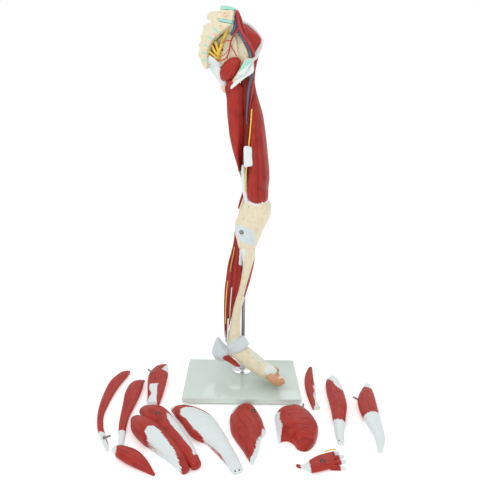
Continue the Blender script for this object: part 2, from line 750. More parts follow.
def make_spine():
    """The last lumbar vertebra and its discs, cut at the midline, and the sacrum's half."""
    cut = MIDLINE
    body = [(-0.010, 1.0430), (-0.0075, 1.055), (-0.007, 1.0675), (-0.024, 1.0690),
            (-0.041, 1.0705), (-0.042, 1.060), (-0.046, 1.0500), (-0.028, 1.0465)]
    spine = [(-0.052, 1.0500), (-0.050, 1.0640), (-0.061, 1.0690), (-0.078, 1.0630),
             (-0.080, 1.0510), (-0.073, 1.0460), (-0.060, 1.0470)]
    parts = [slab_mesh(body, [(cut, 1, 0, 0), (-0.082, 1, 0, 0), (-0.074, 0.8, -0.027, 1.058)]),
             slab_mesh(spine, [(cut, 1, 0, 0), (-0.090, 0.92, -0.065, 1.058)]),
             loft_mesh([(-0.036, -0.086, 1.061, 0.006, 0.008),
                        (-0.048, -0.084, 1.060, 0.005, 0.007),
                        (-0.058, -0.093, 1.058, 0.004, 0.008)], along=20, around=24),
             loft_mesh([(-0.040, -0.084, 1.061, 0.006, 0.007),
                        (-0.046, -0.068, 1.061, 0.005, 0.006),
                        (-0.050, -0.054, 1.063, 0.004, 0.005)], along=20, around=24),
             slab_mesh([(-0.040, 1.052), (-0.040, 1.068), (-0.056, 1.0665), (-0.062, 1.060),
                        (-0.056, 1.0525)], [(cut + 0.0008, 1, 0, 0), (-0.088, 1, 0, 0)]),
             slab_mesh([(-0.050, 1.040), (-0.0465, 1.054), (-0.058, 1.056), (-0.070, 1.046),
                        (-0.066, 1.038)], [(cut + 0.0015, 1, 0, 0), (-0.082, 1, 0, 0)])]

    def vertebra_masks(x, y, z):
        cut_face = y < cut + 0.0020
        return {"marrow": cut_face * np.clip(1.3 * spot(x, z, -0.025, 1.057, 0.013, 0.009), 0, 1)}

    bone("lumbar_vertebra_detail", parts, ["lumbar_vertebra"], 0.0011, 3, vertebra_masks)
    for name, outline in (
            ("lumbar_disc", [(-0.0062, 1.0680), (-0.0035, 1.0715), (-0.0062, 1.0745),
                             (-0.0230, 1.0790), (-0.0395, 1.0798), (-0.0420, 1.0760),
                             (-0.0418, 1.0714), (-0.024, 1.0700)]),
            ("lumbosacral_disc", [(-0.0125, 1.0358), (-0.0104, 1.0390), (-0.0108, 1.0425),
                                  (-0.028, 1.0460), (-0.0462, 1.0492), (-0.0488, 1.0465),
                                  (-0.0483, 1.0436), (-0.030, 1.0395)])):
        mesh = slab_mesh(outline, [(cut, 1, 0, 0), (-0.083, 1, 0, 0),
                                   (-0.076, 0.82, -0.026, outline[0][1] + 0.006)], 70)
        disc = fused(name, [mesh], 0.0009, 3)
        add_piece(name + "_detail", disc, "leg", "cartilage_teal", TEAL_PAINT, [name])


# The cut face of the sacrum: where each body's centre and each disc between them lies.
SACRAL_BODIES = [(-0.040, 1.0280, 0.0085, 0.0060, -32), (-0.0585, 1.0095, 0.0070, 0.0052, -50),
                 (-0.0720, 0.9915, 0.0055, 0.0042, -62), (-0.0815, 0.9730, 0.0042, 0.0040, -75),
                 (-0.0870, 0.9560, 0.0030, 0.0034, -85)]
SACRAL_DISCS = [((-0.0480, 1.0150), (-0.0600, 1.0250)), ((-0.0640, 0.9980), (-0.0760, 1.0050)),
                ((-0.0750, 0.9800), (-0.0860, 0.9850)), ((-0.0810, 0.9630), (-0.0920, 0.9655)),
                ((-0.0830, 0.9460), (-0.0920, 0.9460))]


def make_sacrum():
    """The sacrum with the coccyx, its ridge of small spines behind and its cut discs."""
    outline = [(-0.013, 1.0340), (-0.031, 1.0385), (-0.0490, 1.0425), (-0.066, 1.0410),
               (-0.078, 1.0400), (-0.087, 1.0330), (-0.092, 1.0210), (-0.095, 1.0090),
               (-0.1005, 0.9890), (-0.1035, 0.9680), (-0.100, 0.9480), (-0.091, 0.9290),
               (-0.0840, 0.9220), (-0.0810, 0.9370), (-0.0815, 0.9570), (-0.0770, 0.9780),
               (-0.0640, 0.9985), (-0.0430, 1.0150), (-0.0240, 1.0270)]
    slices = [(MIDLINE, 1, 0, 0), (-0.086, 0.98, -0.060, 1.010), (-0.070, 0.80, -0.060, 1.018),
              (-0.054, 0.52, -0.062, 1.022)]
    parts = [slab_mesh(outline, slices, 120)]
    for x, z in ((-0.088, 1.030), (-0.097, 1.006), (-0.102, 0.985), (-0.1035, 0.962)):
        parts.append(ball_mesh((x, -0.094, z), 0.0052, (0.9, 1.0, 1.3)))

    def masks(x, y, z):
        cut_face = y < MIDLINE + 0.0022
        marrow = sum(spot(x, z, *body) for body in SACRAL_BODIES)
        teal = np.max([strip(x, z, a, b, 0.0028) for a, b in SACRAL_DISCS], axis=0)
        return {"marrow": cut_face * np.clip(1.2 * marrow, 0, 1), "cartilage": cut_face * teal}

    bone("sacrum_detail", parts, ["sacrum"], 0.0012, 4, masks)


HIP_CENTRE = (-0.008, 0.002, 0.930)


def make_hip_bone():
    """The hip bone, with the symphysis cut, its ligament white and its crest."""
    parts = [
        loft_mesh([(-0.010, -0.014, 0.935, 0.026, 0.020, 20),
                   (-0.012, -0.016, 0.968, 0.036, 0.011, 35),
                   (-0.010, -0.012, 1.000, 0.055, 0.007, 41),
                   (-0.020, -0.015, 1.025, 0.055, 0.006, 41),
                   (-0.030, -0.012, 1.043, 0.040, 0.007, 41),
                   (-0.036, -0.014, 1.054, 0.020, 0.005, 41)], level=True, along=50, around=72),
        slab_mesh([(-0.074, 0.985), (-0.055, 1.010), (-0.030, 1.018), (-0.012, 1.005),
                   (-0.006, 0.975), (-0.006, 0.945), (-0.030, 0.925), (-0.052, 0.925),
                   (-0.068, 0.945)],
                  [(-0.068, 0.96, -0.035, 0.965), (-0.065, 1, 0, 0), (-0.044, 1, 0, 0)]),
        slab_mesh([(-0.020, 1.015), (-0.004, 1.012), (0.010, 0.990), (0.022, 0.962),
                   (0.016, 0.945), (-0.010, 0.940), (-0.020, 0.950)],
                  [(-0.057, 0.94, 0.0, 0.975), (-0.054, 1, 0, 0), (-0.030, 1, 0, 0)]),
        loft_mesh([(-0.060, -0.050, 1.030, 0.014, 0.012), (-0.056, -0.046, 1.005, 0.020, 0.012),
                   (-0.048, -0.042, 0.980, 0.020, 0.010), (-0.040, -0.036, 0.955, 0.014, 0.010)],
                  level=True, along=40, around=48),
        loft_mesh([(-0.010, -0.040, 0.934, 0.016, 0.018), (-0.010, -0.030, 0.933, 0.030, 0.030),
                   (-0.009, -0.014, 0.931, 0.035, 0.034), (-0.008, 0.004, 0.930, 0.033, 0.032)],
                  along=30, around=48),
        loft_mesh([(-0.018, -0.024, 0.925, 0.016, 0.018), (-0.038, -0.032, 0.905, 0.014, 0.016),
                   (-0.050, -0.040, 0.884, 0.014, 0.014), (-0.048, -0.044, 0.868, 0.009, 0.008)],
                  up=(1, 0, 0), along=30, around=40),
        loft_mesh([(0.000, -0.030, 0.948, 0.013, 0.012), (0.018, -0.056, 0.948, 0.008, 0.009),
                   (0.028, -0.088, 0.934, 0.009, 0.011)], along=30, around=36),
        loft_mesh([(0.016, -0.088, 0.916, 0.006, 0.010), (-0.012, -0.070, 0.892, 0.005, 0.008),
                   (-0.042, -0.047, 0.878, 0.007, 0.010)], along=30, around=36),
        slab_mesh([(0.007, 0.908), (0.026, 0.908), (0.038, 0.926), (0.0495, 0.946),
                   (0.030, 0.946), (0.017, 0.928)],
                  [(MIDLINE + 0.001, 1, 0, 0), (-0.088, 0.95, 0.027, 0.927),
                   (-0.078, 0.75, 0.027, 0.927)])]

    def masks(x, y, z):
        rim = signed_distance(x, z, [(0.010, 0.911), (0.0245, 0.910), (0.036, 0.927),
                                     (0.0475, 0.9445), (0.0310, 0.9435), (0.0195, 0.927)])
        symphysis = brushed(rim + 0.0012, 0.004) * (y < MIDLINE + 0.0045)
        branch = smoothstep(0.004, -0.002, z - 0.918 - 0.70 * (x - 0.020)) \
            * smoothstep(0.896, 0.902, z + 0.3 * x) * (y < -0.060)
        crest = smoothstep(1.044, 1.052, z - 0.1 * x)
        return {"cartilage": symphysis, "tendon": np.maximum(0.9 * branch, crest)}

    bone("hip_bone_detail", parts, ["hip_bone", "pubic_disc"], 0.0016, 5, masks)


def make_femur():
    """The femur with its head, neck and trochanters."""
    parts = [
        loft_mesh([(-0.010, 0.044, 0.936, 0.010, 0.009), (-0.007, 0.041, 0.915, 0.016, 0.014),
                   (-0.002, 0.036, 0.880, 0.015, 0.015), (0.008, 0.024, 0.820, 0.012, 0.013),
                   (0.020, 0.004, 0.720, 0.011, 0.012), (0.028, -0.014, 0.630, 0.013, 0.014),
                   (0.030, -0.020, 0.580, 0.016, 0.018)], level=True, along=80, around=40),
        loft_mesh([(*HIP_CENTRE, 0.015, 0.015), (-0.008, 0.022, 0.924, 0.0135, 0.014),
                   (-0.008, 0.040, 0.912, 0.014, 0.014)], along=20, around=32),
        ball_mesh(HIP_CENTRE, 0.0225), ball_mesh((-0.018, 0.022, 0.872), 0.008)]
    bone("femur_detail", parts, ["femur"], 0.0018, 5)


# Sizes of the thigh's bellies: x, y, z, half-width front to back, half-width across, heading.
QUADRICEPS = [(0.0300, -0.030, 0.890, 0.0030, 0.006), (0.0325, -0.030, 0.870, 0.0045, 0.011),
              (0.0341, -0.030, 0.851, 0.0075, 0.020), (0.0368, -0.030, 0.829, 0.0115, 0.028),
              (0.0401, -0.030, 0.805, 0.0150, 0.036), (0.0431, -0.030, 0.773, 0.0176, 0.041),
              (0.0456, -0.030, 0.742, 0.0198, 0.044), (0.0485, -0.030, 0.704, 0.0220, 0.046),
              (0.0503, -0.029, 0.662, 0.0258, 0.046), (0.0501, -0.029, 0.626, 0.0292, 0.045),
              (0.0485, -0.030, 0.600, 0.0290, 0.044), (0.051, -0.034, 0.570, 0.028, 0.037),
              (0.056, -0.038, 0.553, 0.018, 0.022)]
ADDUCTOR = [(-0.018, -0.060, 0.890, 0.018, 0.014), (-0.0155, -0.056, 0.874, 0.0280, 0.022),
            (-0.0130, -0.052, 0.850, 0.0258, 0.029), (-0.0110, -0.050, 0.816, 0.0248, 0.033),
            (-0.0098, -0.047, 0.778, 0.0238, 0.034), (-0.0083, -0.045, 0.740, 0.0206, 0.033),
            (-0.0054, -0.043, 0.698, 0.0132, 0.028), (-0.0031, -0.042, 0.666, 0.0060, 0.018),
            (-0.0015, -0.042, 0.640, 0.0030, 0.008)]
LATERAL = [(-0.008, 0.040, 0.886, 0.009, 0.008), (-0.002, 0.038, 0.868, 0.014, 0.014),
           (0.001, 0.034, 0.850, 0.0185, 0.020), (0.013, 0.026, 0.790, 0.028, 0.027),
           (0.026, 0.018, 0.710, 0.031, 0.028), (0.037, 0.010, 0.640, 0.030, 0.026),
           (0.045, 0.000, 0.592, 0.024, 0.020), (0.048, -0.006, 0.568, 0.014, 0.012)]
HAMSTRING_BED = [(-0.012, 0.030, 0.872, 0.012, 0.012), (-0.014, 0.022, 0.830, 0.018, 0.022),
                 (-0.012, 0.014, 0.770, 0.019, 0.025), (-0.006, 0.008, 0.700, 0.017, 0.023),
                 (-0.002, 0.002, 0.640, 0.015, 0.018), (-0.004, 0.006, 0.598, 0.008, 0.010)]


def furrows(angles, width, depth, seed):
    """Fibres, with deeper furrows along some angles that part a muscle's heads."""
    base = fibres(seed)

    def relief(v, u, angle):
        height = base(v, u, angle)
        for number, place in enumerate(angles):
            drift = 0.10 * wander(v, seed + 5 + number, 0.09)
            gap = np.abs((angle - radians(place) - drift + pi) % (2 * pi) - pi)
            height = height - depth * np.exp(-(gap / width) ** 2)
        return height
    return relief


def make_thigh():
    """The thigh's bellies, with its vessels, its nerve and its membrane."""
    def quad_mask(x, y, z):
        foot = 0.5640 + 0.22 * np.abs(x - 0.058) + 0.002 * np.sin(x * 900)
        return brushed(foot - z - 0.006, 0.010)

    belly("quadriceps_detail", QUADRICEPS, quad_mask, ["quadriceps_muscle"], seed=1.0,
          along=150, around=128, relief=furrows((-68, -30, 62), 0.26, 0.0005, 1.0))

    def adductor_mask(x, y, z):
        return brushed(0.648 - z + 0.6 * (x - 0.002), 0.022)

    belly("adductor_detail", ADDUCTOR, adductor_mask, ["adductor_muscle"], seed=2.0,
          along=150, around=128, relief=furrows((-128, -50, 40), 0.22, 0.0006, 2.0))
    belly("adductor_root", [(-0.030, -0.060, 0.892, 0.008, 0.010),
                            (-0.029, -0.058, 0.872, 0.010, 0.014),
                            (-0.028, -0.054, 0.845, 0.010, 0.018),
                            (-0.028, -0.050, 0.800, 0.008, 0.020),
                            (-0.024, -0.046, 0.745, 0.006, 0.018)], seed=3.0, along=80)
    belly("groove_bed", [(0.012, -0.050, 0.905, 0.014, 0.014), (0.018, -0.044, 0.872, 0.017,
                         0.020), (0.020, -0.038, 0.800, 0.017, 0.022),
                         (0.020, -0.036, 0.740, 0.016, 0.022), (0.016, -0.036, 0.670, 0.014,
                         0.020), (0.012, -0.038, 0.620, 0.010, 0.014)], seed=4.0,
          paint=DEEP_PAINT)
    belly("rectus_origin", [(0.0390, -0.030, 0.962, 0.0040, 0.006),
                            (0.0325, -0.030, 0.935, 0.0040, 0.008),
                            (0.0285, -0.030, 0.912, 0.0035, 0.009),
                            (0.0285, -0.030, 0.888, 0.0040, 0.009),
                            (0.0325, -0.030, 0.862, 0.0060, 0.014)], seed=18.0, along=70)
    belly("vastus_lateralis_detail", LATERAL,
          lambda x, y, z: brushed(0.592 - z, 0.02), ["vastus_lateralis"], seed=5.0,
          along=130, around=110, relief=furrows((20, 100, 160), 0.12, 0.0018, 5.0))
    belly("hamstring_bed_detail", HAMSTRING_BED,
          lambda x, y, z: brushed(0.625 - z, 0.03), ["hamstring_bed"], seed=6.0,
          along=120, around=96, relief=furrows((130, 220), 0.12, 0.0016, 6.0))
    vessel("femoral_artery_detail", ARTERY_PAINT, "artery_red",
           [([(0.036, -0.056, 0.955), (0.043, -0.064, 0.920), (0.040, -0.064, 0.889),
              (0.035, -0.062, 0.858), (0.031, -0.061, 0.825), (0.028, -0.060, 0.790)],
             0.0030, 0.7)],
           ["femoral_artery"])
    vessel("femoral_vein_detail", VEIN_PAINT, "vein_blue",
           [([(0.033, -0.064, 0.945), (0.040, -0.070, 0.912), (0.033, -0.070, 0.888),
              (0.028, -0.068, 0.860), (0.026, -0.067, 0.832), (0.024, -0.066, 0.804),
              (0.025, -0.064, 0.780)], 0.0046, 0.45)],
           ["femoral_vein"])
    vessel("saphenous_nerve_detail", YELLOW_PAINT, "nerve_yellow",
           [([(0.039, -0.068, 0.818), (0.037, -0.072, 0.765), (0.034, -0.0750, 0.717),
              (0.029, -0.0755, 0.659), (0.025, -0.071, 0.617), (0.024, -0.066, 0.588)],
             0.0020, 0.8)], ["saphenous_nerve"])
    sheet = slab_mesh([(0.0225, 0.7175), (0.034, 0.7195), (0.0440, 0.7150), (0.0455, 0.690),
                       (0.0470, 0.668), (0.036, 0.6640), (0.0245, 0.6630), (0.0222, 0.690)],
                      [(-0.0828, 0.97, 0.034, 0.690), (-0.0820, 1, 0, 0), (-0.0740, 1, 0, 0)])
    add_piece("canal_membrane_detail", fused("canal_membrane_detail", [sheet], 0.0012, 3),
              "leg", "tendon_white", WHITE_PAINT, ["canal_membrane"])
    aponeurosis = loft_mesh([(0.014, -0.056, 0.664, 0.005, 0.010),
                             (0.016, -0.056, 0.640, 0.008, 0.014),
                             (0.019, -0.056, 0.610, 0.009, 0.014),
                             (0.021, -0.054, 0.585, 0.008, 0.013),
                             (0.026, -0.050, 0.560, 0.008, 0.012)], level=True)
    add_piece("adductor_aponeurosis", aponeurosis, "leg", "tendon_white", WHITE_PAINT)
    vessel("sciatic_nerve", YELLOW_PAINT, "nerve_yellow",
           [([(-0.045, 0.012, 0.935), (-0.040, 0.018, 0.900), (-0.036, 0.018, 0.860),
              (-0.034, 0.014, 0.800), (-0.026, 0.012, 0.730), (-0.010, 0.014, 0.660),
              (0.002, 0.016, 0.610), (0.006, 0.016, 0.575)], 0.0036, 0.7),
            ([(-0.006, 0.014, 0.645), (0.004, 0.022, 0.600), (0.004, 0.028, 0.560),
              (0.004, 0.024, 0.520)], 0.0022, 0.8)])


KNEE = [(0.042, -0.026, 0.574, 0.030, 0.030), (0.044, -0.025, 0.550, 0.040, 0.041),
        (0.039, -0.024, 0.520, 0.046, 0.046), (0.029, -0.022, 0.495, 0.046, 0.047),
        (0.021, -0.021, 0.470, 0.041, 0.045), (0.017, -0.021, 0.448, 0.037, 0.043),
        (0.016, -0.026, 0.428, 0.031, 0.037), (0.021, -0.032, 0.412, 0.020, 0.026)]


def make_knee():
    """The knee with its kneecap, white band, membrane, holes and the metal socket."""
    boss = loft_mesh([(0.010, -0.004, 0.588, 0.014, 0.014), (0.008, -0.003, 0.568, 0.019, 0.019),
                      (0.006, -0.003, 0.530, 0.022, 0.021), (0.006, -0.004, 0.480, 0.023, 0.023),
                      (0.008, -0.008, 0.450, 0.022, 0.024), (0.012, -0.014, 0.424, 0.016, 0.018)],
                     level=True)
    cap = ball_mesh((0.068, -0.022, 0.532), 0.017, (0.75, 1.05, 1.25))
    shapes = [loft_mesh(KNEE, level=True, power=2.6, along=80, around=96), boss, cap]

    def masks(x, y, z):
        edge = 0.5520 + 0.35 * np.abs(x - 0.052) + 0.0015 * np.sin(x * 700 + y * 500)
        band = brushed(np.minimum(z - edge, 0.004 + 0 * z), 0.006)
        return {"tendon": np.clip(band * 1.15, 0, 1)}

    knee = bone("knee_detail", shapes, ["knee_capsule"], 0.0018, 6, masks, bush_hole=True)
    surface = Surface(knee)
    membrane = surface.patch("membrane", [(-0.010, 0.494), (0.001, 0.492), (0.021, 0.489),
                                          (0.034, 0.484), (0.043, 0.483), (0.049, 0.474),
                                          (0.050, 0.457), (0.048, 0.437), (0.040, 0.431),
                                          (0.029, 0.438), (0.015, 0.440), (0.000, 0.456),
                                          (-0.008, 0.468)], 0.0012)
    add_piece("knee_membrane_detail", membrane, "leg", "tendon_white", GREY_WHITE_PAINT,
              ["knee_membrane"])
    socket("knee_socket_detail", "leg", (0.014, surface.depth(0.014, 0.472) - 0.0022, 0.472),
           (0, -1, 0), 0.0062, in_leg=True, replaces=["knee_socket"])
    for number, (x, z) in enumerate(((0.035, 0.548), (0.020, 0.512))):
        pit = lathe_mesh([(0.0001, 0.0003), (0.0011, 0.0003), (0.0014, 0.0), (0.0001, -0.0002)],
                         24)
        place_turned(pit, (x, surface.depth(x, z) - 0.0002, z), (0, -1, 0))
        add_piece("pin_hole_" + str(number), pit, "leg", "steel", DARK_STEEL)
    belly("popliteal_strip", [(0.014, -0.040, 0.608, 0.003, 0.006),
                              (0.010, -0.044, 0.585, 0.003, 0.007),
                              (0.003, -0.046, 0.562, 0.003, 0.006),
                              (-0.004, -0.046, 0.538, 0.002, 0.004)], seed=7.0, along=50)


def place_turned(mesh, place, direction):
    """Stand a turned mesh at a place, with its axis along a direction."""
    turn = Vector((0, 0, 1)).rotation_difference(Vector(direction)).to_matrix().to_4x4()
    mesh.transform(Matrix.Translation(place) @ turn)


def socket(name, body, place, direction, radius, in_leg=False, replaces=()):
    """A recessed metal socket: a bright ring round a dark well with a grey pin in it."""
    ring = lathe_mesh([(radius * 0.62, -0.0030), (radius * 0.62, 0.0004), (radius * 0.72, 0.0009),
                       (radius * 0.90, 0.0009), (radius, 0.0002), (radius, -0.0030)], 48)
    well = lathe_mesh([(0.0001, -0.0016), (radius * 0.66, -0.0016), (radius * 0.66, -0.0026),
                       (0.0001, -0.0026)], 32)
    pin = lathe_mesh([(0.0001, 0.0006), (radius * 0.20, 0.0005), (radius * 0.27, -0.0001),
                      (radius * 0.27, -0.0020), (0.0001, -0.0020)], 32)
    for piece, suffix, paint in ((ring, "", RING_STEEL), (well, "_well", DARK_STEEL),
                                 (pin, "_pin", STEEL)):
        place_turned(piece, place, direction)
        made = add_piece(name + suffix, piece, body, "steel", paint,
                         replaces if not suffix else (), in_leg)
        made.data.set_sharp_from_angle(angle=radians(35))


def make_pelvic_soft_parts():
    """Muscles, vessels, nerves and ligaments in the pelvis."""
    obturator = [(-0.050, -0.062, 0.900, 0.008, 0.006), (-0.041, -0.066, 0.909, 0.019, 0.012),
                 (-0.025, -0.070, 0.925, 0.023, 0.014), (-0.009, -0.072, 0.940, 0.018, 0.011),
                 (0.000, -0.070, 0.948, 0.009, 0.006)]
    belly("obturator_detail", obturator, None, ["obturator_muscle"], seed=8.0, level=False,
          up=(0, 1, 0), along=80, around=80)
    iliacus = [(-0.013, -0.010, 1.047, 0.012, 0.005, 41), (-0.004, -0.014, 1.034, 0.026, 0.010, 41),
               (0.010, -0.018, 1.018, 0.030, 0.013, 41), (0.018, -0.018, 1.002, 0.029, 0.014, 41),
               (0.020, -0.022, 0.985, 0.020, 0.013, 38), (0.026, -0.030, 0.966, 0.010, 0.009, 30),
               (0.028, -0.034, 0.955, 0.005, 0.005, 30)]
    belly("iliacus_detail", iliacus, None, ["iliacus_muscle"], seed=9.0, along=110, around=96)
    psoas = [(-0.007, -0.073, 1.066, 0.0075, 0.0065), (-0.001, -0.071, 1.050, 0.0085, 0.0070),
             (0.004, -0.064, 1.032, 0.0075, 0.0070), (0.014, -0.053, 1.008, 0.0060, 0.0070),
             (0.026, -0.042, 0.984, 0.0050, 0.0060), (0.032, -0.036, 0.964, 0.0035, 0.0040)]
    belly("psoas", psoas, lambda x, y, z: 0.38 * smoothstep(1.062, 1.070, z), seed=10.0,
          level=False, up=(0, 1, 0), along=80, around=64)
    minimus = [(-0.034, 0.002, 1.044, 0.022, 0.006, 41), (-0.030, 0.012, 1.020, 0.042, 0.013, 41),
               (-0.024, 0.022, 0.990, 0.036, 0.015, 35), (-0.016, 0.036, 0.955, 0.022, 0.014, 20),
               (-0.010, 0.052, 0.925, 0.008, 0.006)]
    belly("gluteus_minimus_detail", minimus,
          lambda x, y, z: np.maximum(brushed(0.938 - z, 0.02), brushed(z - 1.040, 0.02)),
          ["gluteus_minimus"], seed=11.0, along=110, around=110)
    belly("piriformis", [(-0.072, -0.036, 0.985, 0.012, 0.006), (-0.060, -0.016, 0.975, 0.011,
                         0.008), (-0.040, 0.006, 0.958, 0.009, 0.009),
                         (-0.020, 0.030, 0.940, 0.005, 0.006)],
          lambda x, y, z: brushed(y - 0.012, 0.02), seed=12.0, level=False, along=60)
    belly("piriformis_root", [(-0.080, -0.078, 0.985, 0.016, 0.004), (-0.070, -0.066, 0.980,
                              0.020, 0.006), (-0.060, -0.054, 0.974, 0.020, 0.006)],
          seed=13.0, level=False, along=50, paint=DEEP_PAINT)
    ligament = loft_mesh([(-0.084, -0.088, 0.950, 0.012, 0.0022),
                          (-0.070, -0.076, 0.930, 0.014, 0.0024),
                          (-0.057, -0.064, 0.908, 0.013, 0.0030),
                          (-0.050, -0.052, 0.884, 0.009, 0.0035)], up=(0, 1, 0.3), along=40,
                         around=48)
    upper = loft_mesh([(-0.082, -0.090, 0.950, 0.012, 0.0018), (-0.064, -0.080, 0.938, 0.010,
                       0.0020), (-0.050, -0.066, 0.930, 0.006, 0.0025)], up=(0, 1, 0.3),
                      along=30, around=40)
    add_piece("sacral_ligament_detail", joined("ligament", [ligament, upper]), "leg",
              "tendon_white", WHITE_PAINT, ["sacral_ligament"])
    crest = loft_mesh([(-0.026, -0.004, 1.056, 0.0040, 0.0040), (-0.012, 0.001, 1.054, 0.0045,
                       0.0045), (0.006, 0.006, 1.045, 0.0050, 0.0045),
                       (0.026, 0.008, 1.026, 0.0050, 0.0045), (0.040, 0.004, 1.008, 0.0050,
                       0.0045), (0.0455, -0.010, 0.994, 0.0040, 0.0040)], along=70, around=28)
    ribbon = loft_mesh([(0.0435, -0.002, 1.004, 0.0045, 0.0025), (0.0450, -0.020, 0.986, 0.0055,
                        0.0022), (0.0425, -0.040, 0.968, 0.0080, 0.0022),
                        (0.0380, -0.060, 0.952, 0.0110, 0.0022), (0.0340, -0.078, 0.942, 0.0115,
                        0.0022)], side=(1, 0, 0), up=(0, 0.7, 0.7), along=60, around=40)
    crest = joined("crest", [crest, ribbon])
    add_piece("inguinal_ligament_detail", crest, "leg", "tendon_white", WHITE_PAINT,
              ["inguinal_ligament"])
    fan = slab_mesh([(0.048, 0.942), (0.050, 0.928), (0.048, 0.913), (0.024, 0.898),
                     (-0.012, 0.872), (-0.014, 0.879), (0.006, 0.897), (0.026, 0.913),
                     (0.038, 0.926)],
                    [(-0.0915, 1, 0, 0), (-0.0880, 1, 0, 0)])
    add_piece("pubic_ligament", fused("pubic_ligament", [fan], 0.0012, 3), "leg",
              "tendon_white", WHITE_PAINT)
    vessel("iliac_artery_detail", ARTERY_PAINT, "artery_red",
           [([(0.000, -0.087, 1.066), (0.003, -0.086, 1.046), (0.006, -0.082, 1.028),
              (0.014, -0.074, 1.010), (0.026, -0.063, 0.990), (0.036, -0.055, 0.968),
              (0.038, -0.054, 0.950)], 0.0040, 0.85),
            ([(0.006, -0.082, 1.028), (-0.006, -0.080, 1.017), (-0.014, -0.078, 1.007),
              (-0.022, -0.076, 0.990), (-0.026, -0.077, 0.968), (-0.034, -0.081, 0.951),
              (-0.050, -0.083, 0.946), (-0.066, -0.085, 0.951), (-0.076, -0.087, 0.960)],
             0.0024, 0.45),
            ([(-0.019, -0.076, 0.996), (-0.032, -0.080, 0.996), (-0.044, -0.083, 0.991)],
             0.0016, 0.6),
            ([(-0.022, -0.075, 0.985), (-0.014, -0.074, 0.972), (-0.005, -0.073, 0.957)],
             0.0015, 0.7),
            ([(-0.026, -0.077, 0.975), (-0.036, -0.082, 0.962), (-0.050, -0.084, 0.956),
              (-0.063, -0.086, 0.962)], 0.0011, 0.6),
            ([(-0.030, -0.079, 0.956), (-0.028, -0.076, 0.944)], 0.0012, 0.6)],
           ["iliac_artery"])
    vessel("iliac_vein_detail", VEIN_PAINT, "vein_blue",
           [([(-0.009, -0.080, 1.056), (-0.007, -0.080, 1.040), (-0.010, -0.078, 1.026),
              (-0.020, -0.074, 1.014)], 0.0055, 0.75),
            ([(-0.006, -0.074, 1.030), (0.004, -0.066, 1.012), (0.016, -0.058, 0.994),
              (0.026, -0.056, 0.972), (0.033, -0.062, 0.946)], 0.0056, 0.80),
            ([(-0.002, -0.070, 1.026), (0.010, -0.060, 1.008), (0.022, -0.054, 0.986),
              (0.031, -0.056, 0.962)], 0.0030, 0.85)], ["iliac_vein"])
    roots = [([(-0.0285, -0.074, 1.036), (-0.036, -0.074, 1.018), (-0.044, -0.074, 1.000),
               (-0.050, -0.074, 0.984), (-0.055, -0.074, 0.968), (-0.058, -0.070, 0.950)],
              0.0040, 1.0),
             ([(-0.062, -0.084, 0.992), (-0.058, -0.079, 0.976), (-0.056, -0.076, 0.964),
               (-0.058, -0.070, 0.950)], 0.0036, 1.0),
             ([(-0.071, -0.086, 0.984), (-0.066, -0.081, 0.971), (-0.059, -0.077, 0.960),
               (-0.059, -0.070, 0.950)], 0.0034, 1.0),
             ([(-0.079, -0.088, 0.970), (-0.071, -0.083, 0.962), (-0.062, -0.078, 0.954),
               (-0.059, -0.070, 0.948)], 0.0032, 1.0),
             ([(-0.082, -0.089, 0.960), (-0.073, -0.084, 0.953), (-0.063, -0.078, 0.949)],
              0.0026, 1.0),
             ([(-0.058, -0.072, 0.954), (-0.058, -0.060, 0.940), (-0.054, -0.040, 0.926),
               (-0.048, -0.012, 0.925)], 0.0040, 0.9)]
    vessel("sacral_plexus_detail", YELLOW_PAINT, "nerve_yellow", roots, ["sacral_plexus"])
    vessel("obturator_nerve", YELLOW_PAINT, "nerve_yellow",
           [([(-0.022, -0.060, 1.024), (-0.018, -0.060, 1.004), (-0.014, -0.062, 0.985),
              (-0.007, -0.066, 0.962)], 0.0010, 0.9),
            ([(0.010, -0.046, 1.004), (0.020, -0.044, 0.990), (0.029, -0.042, 0.972)],
             0.0016, 0.9)])


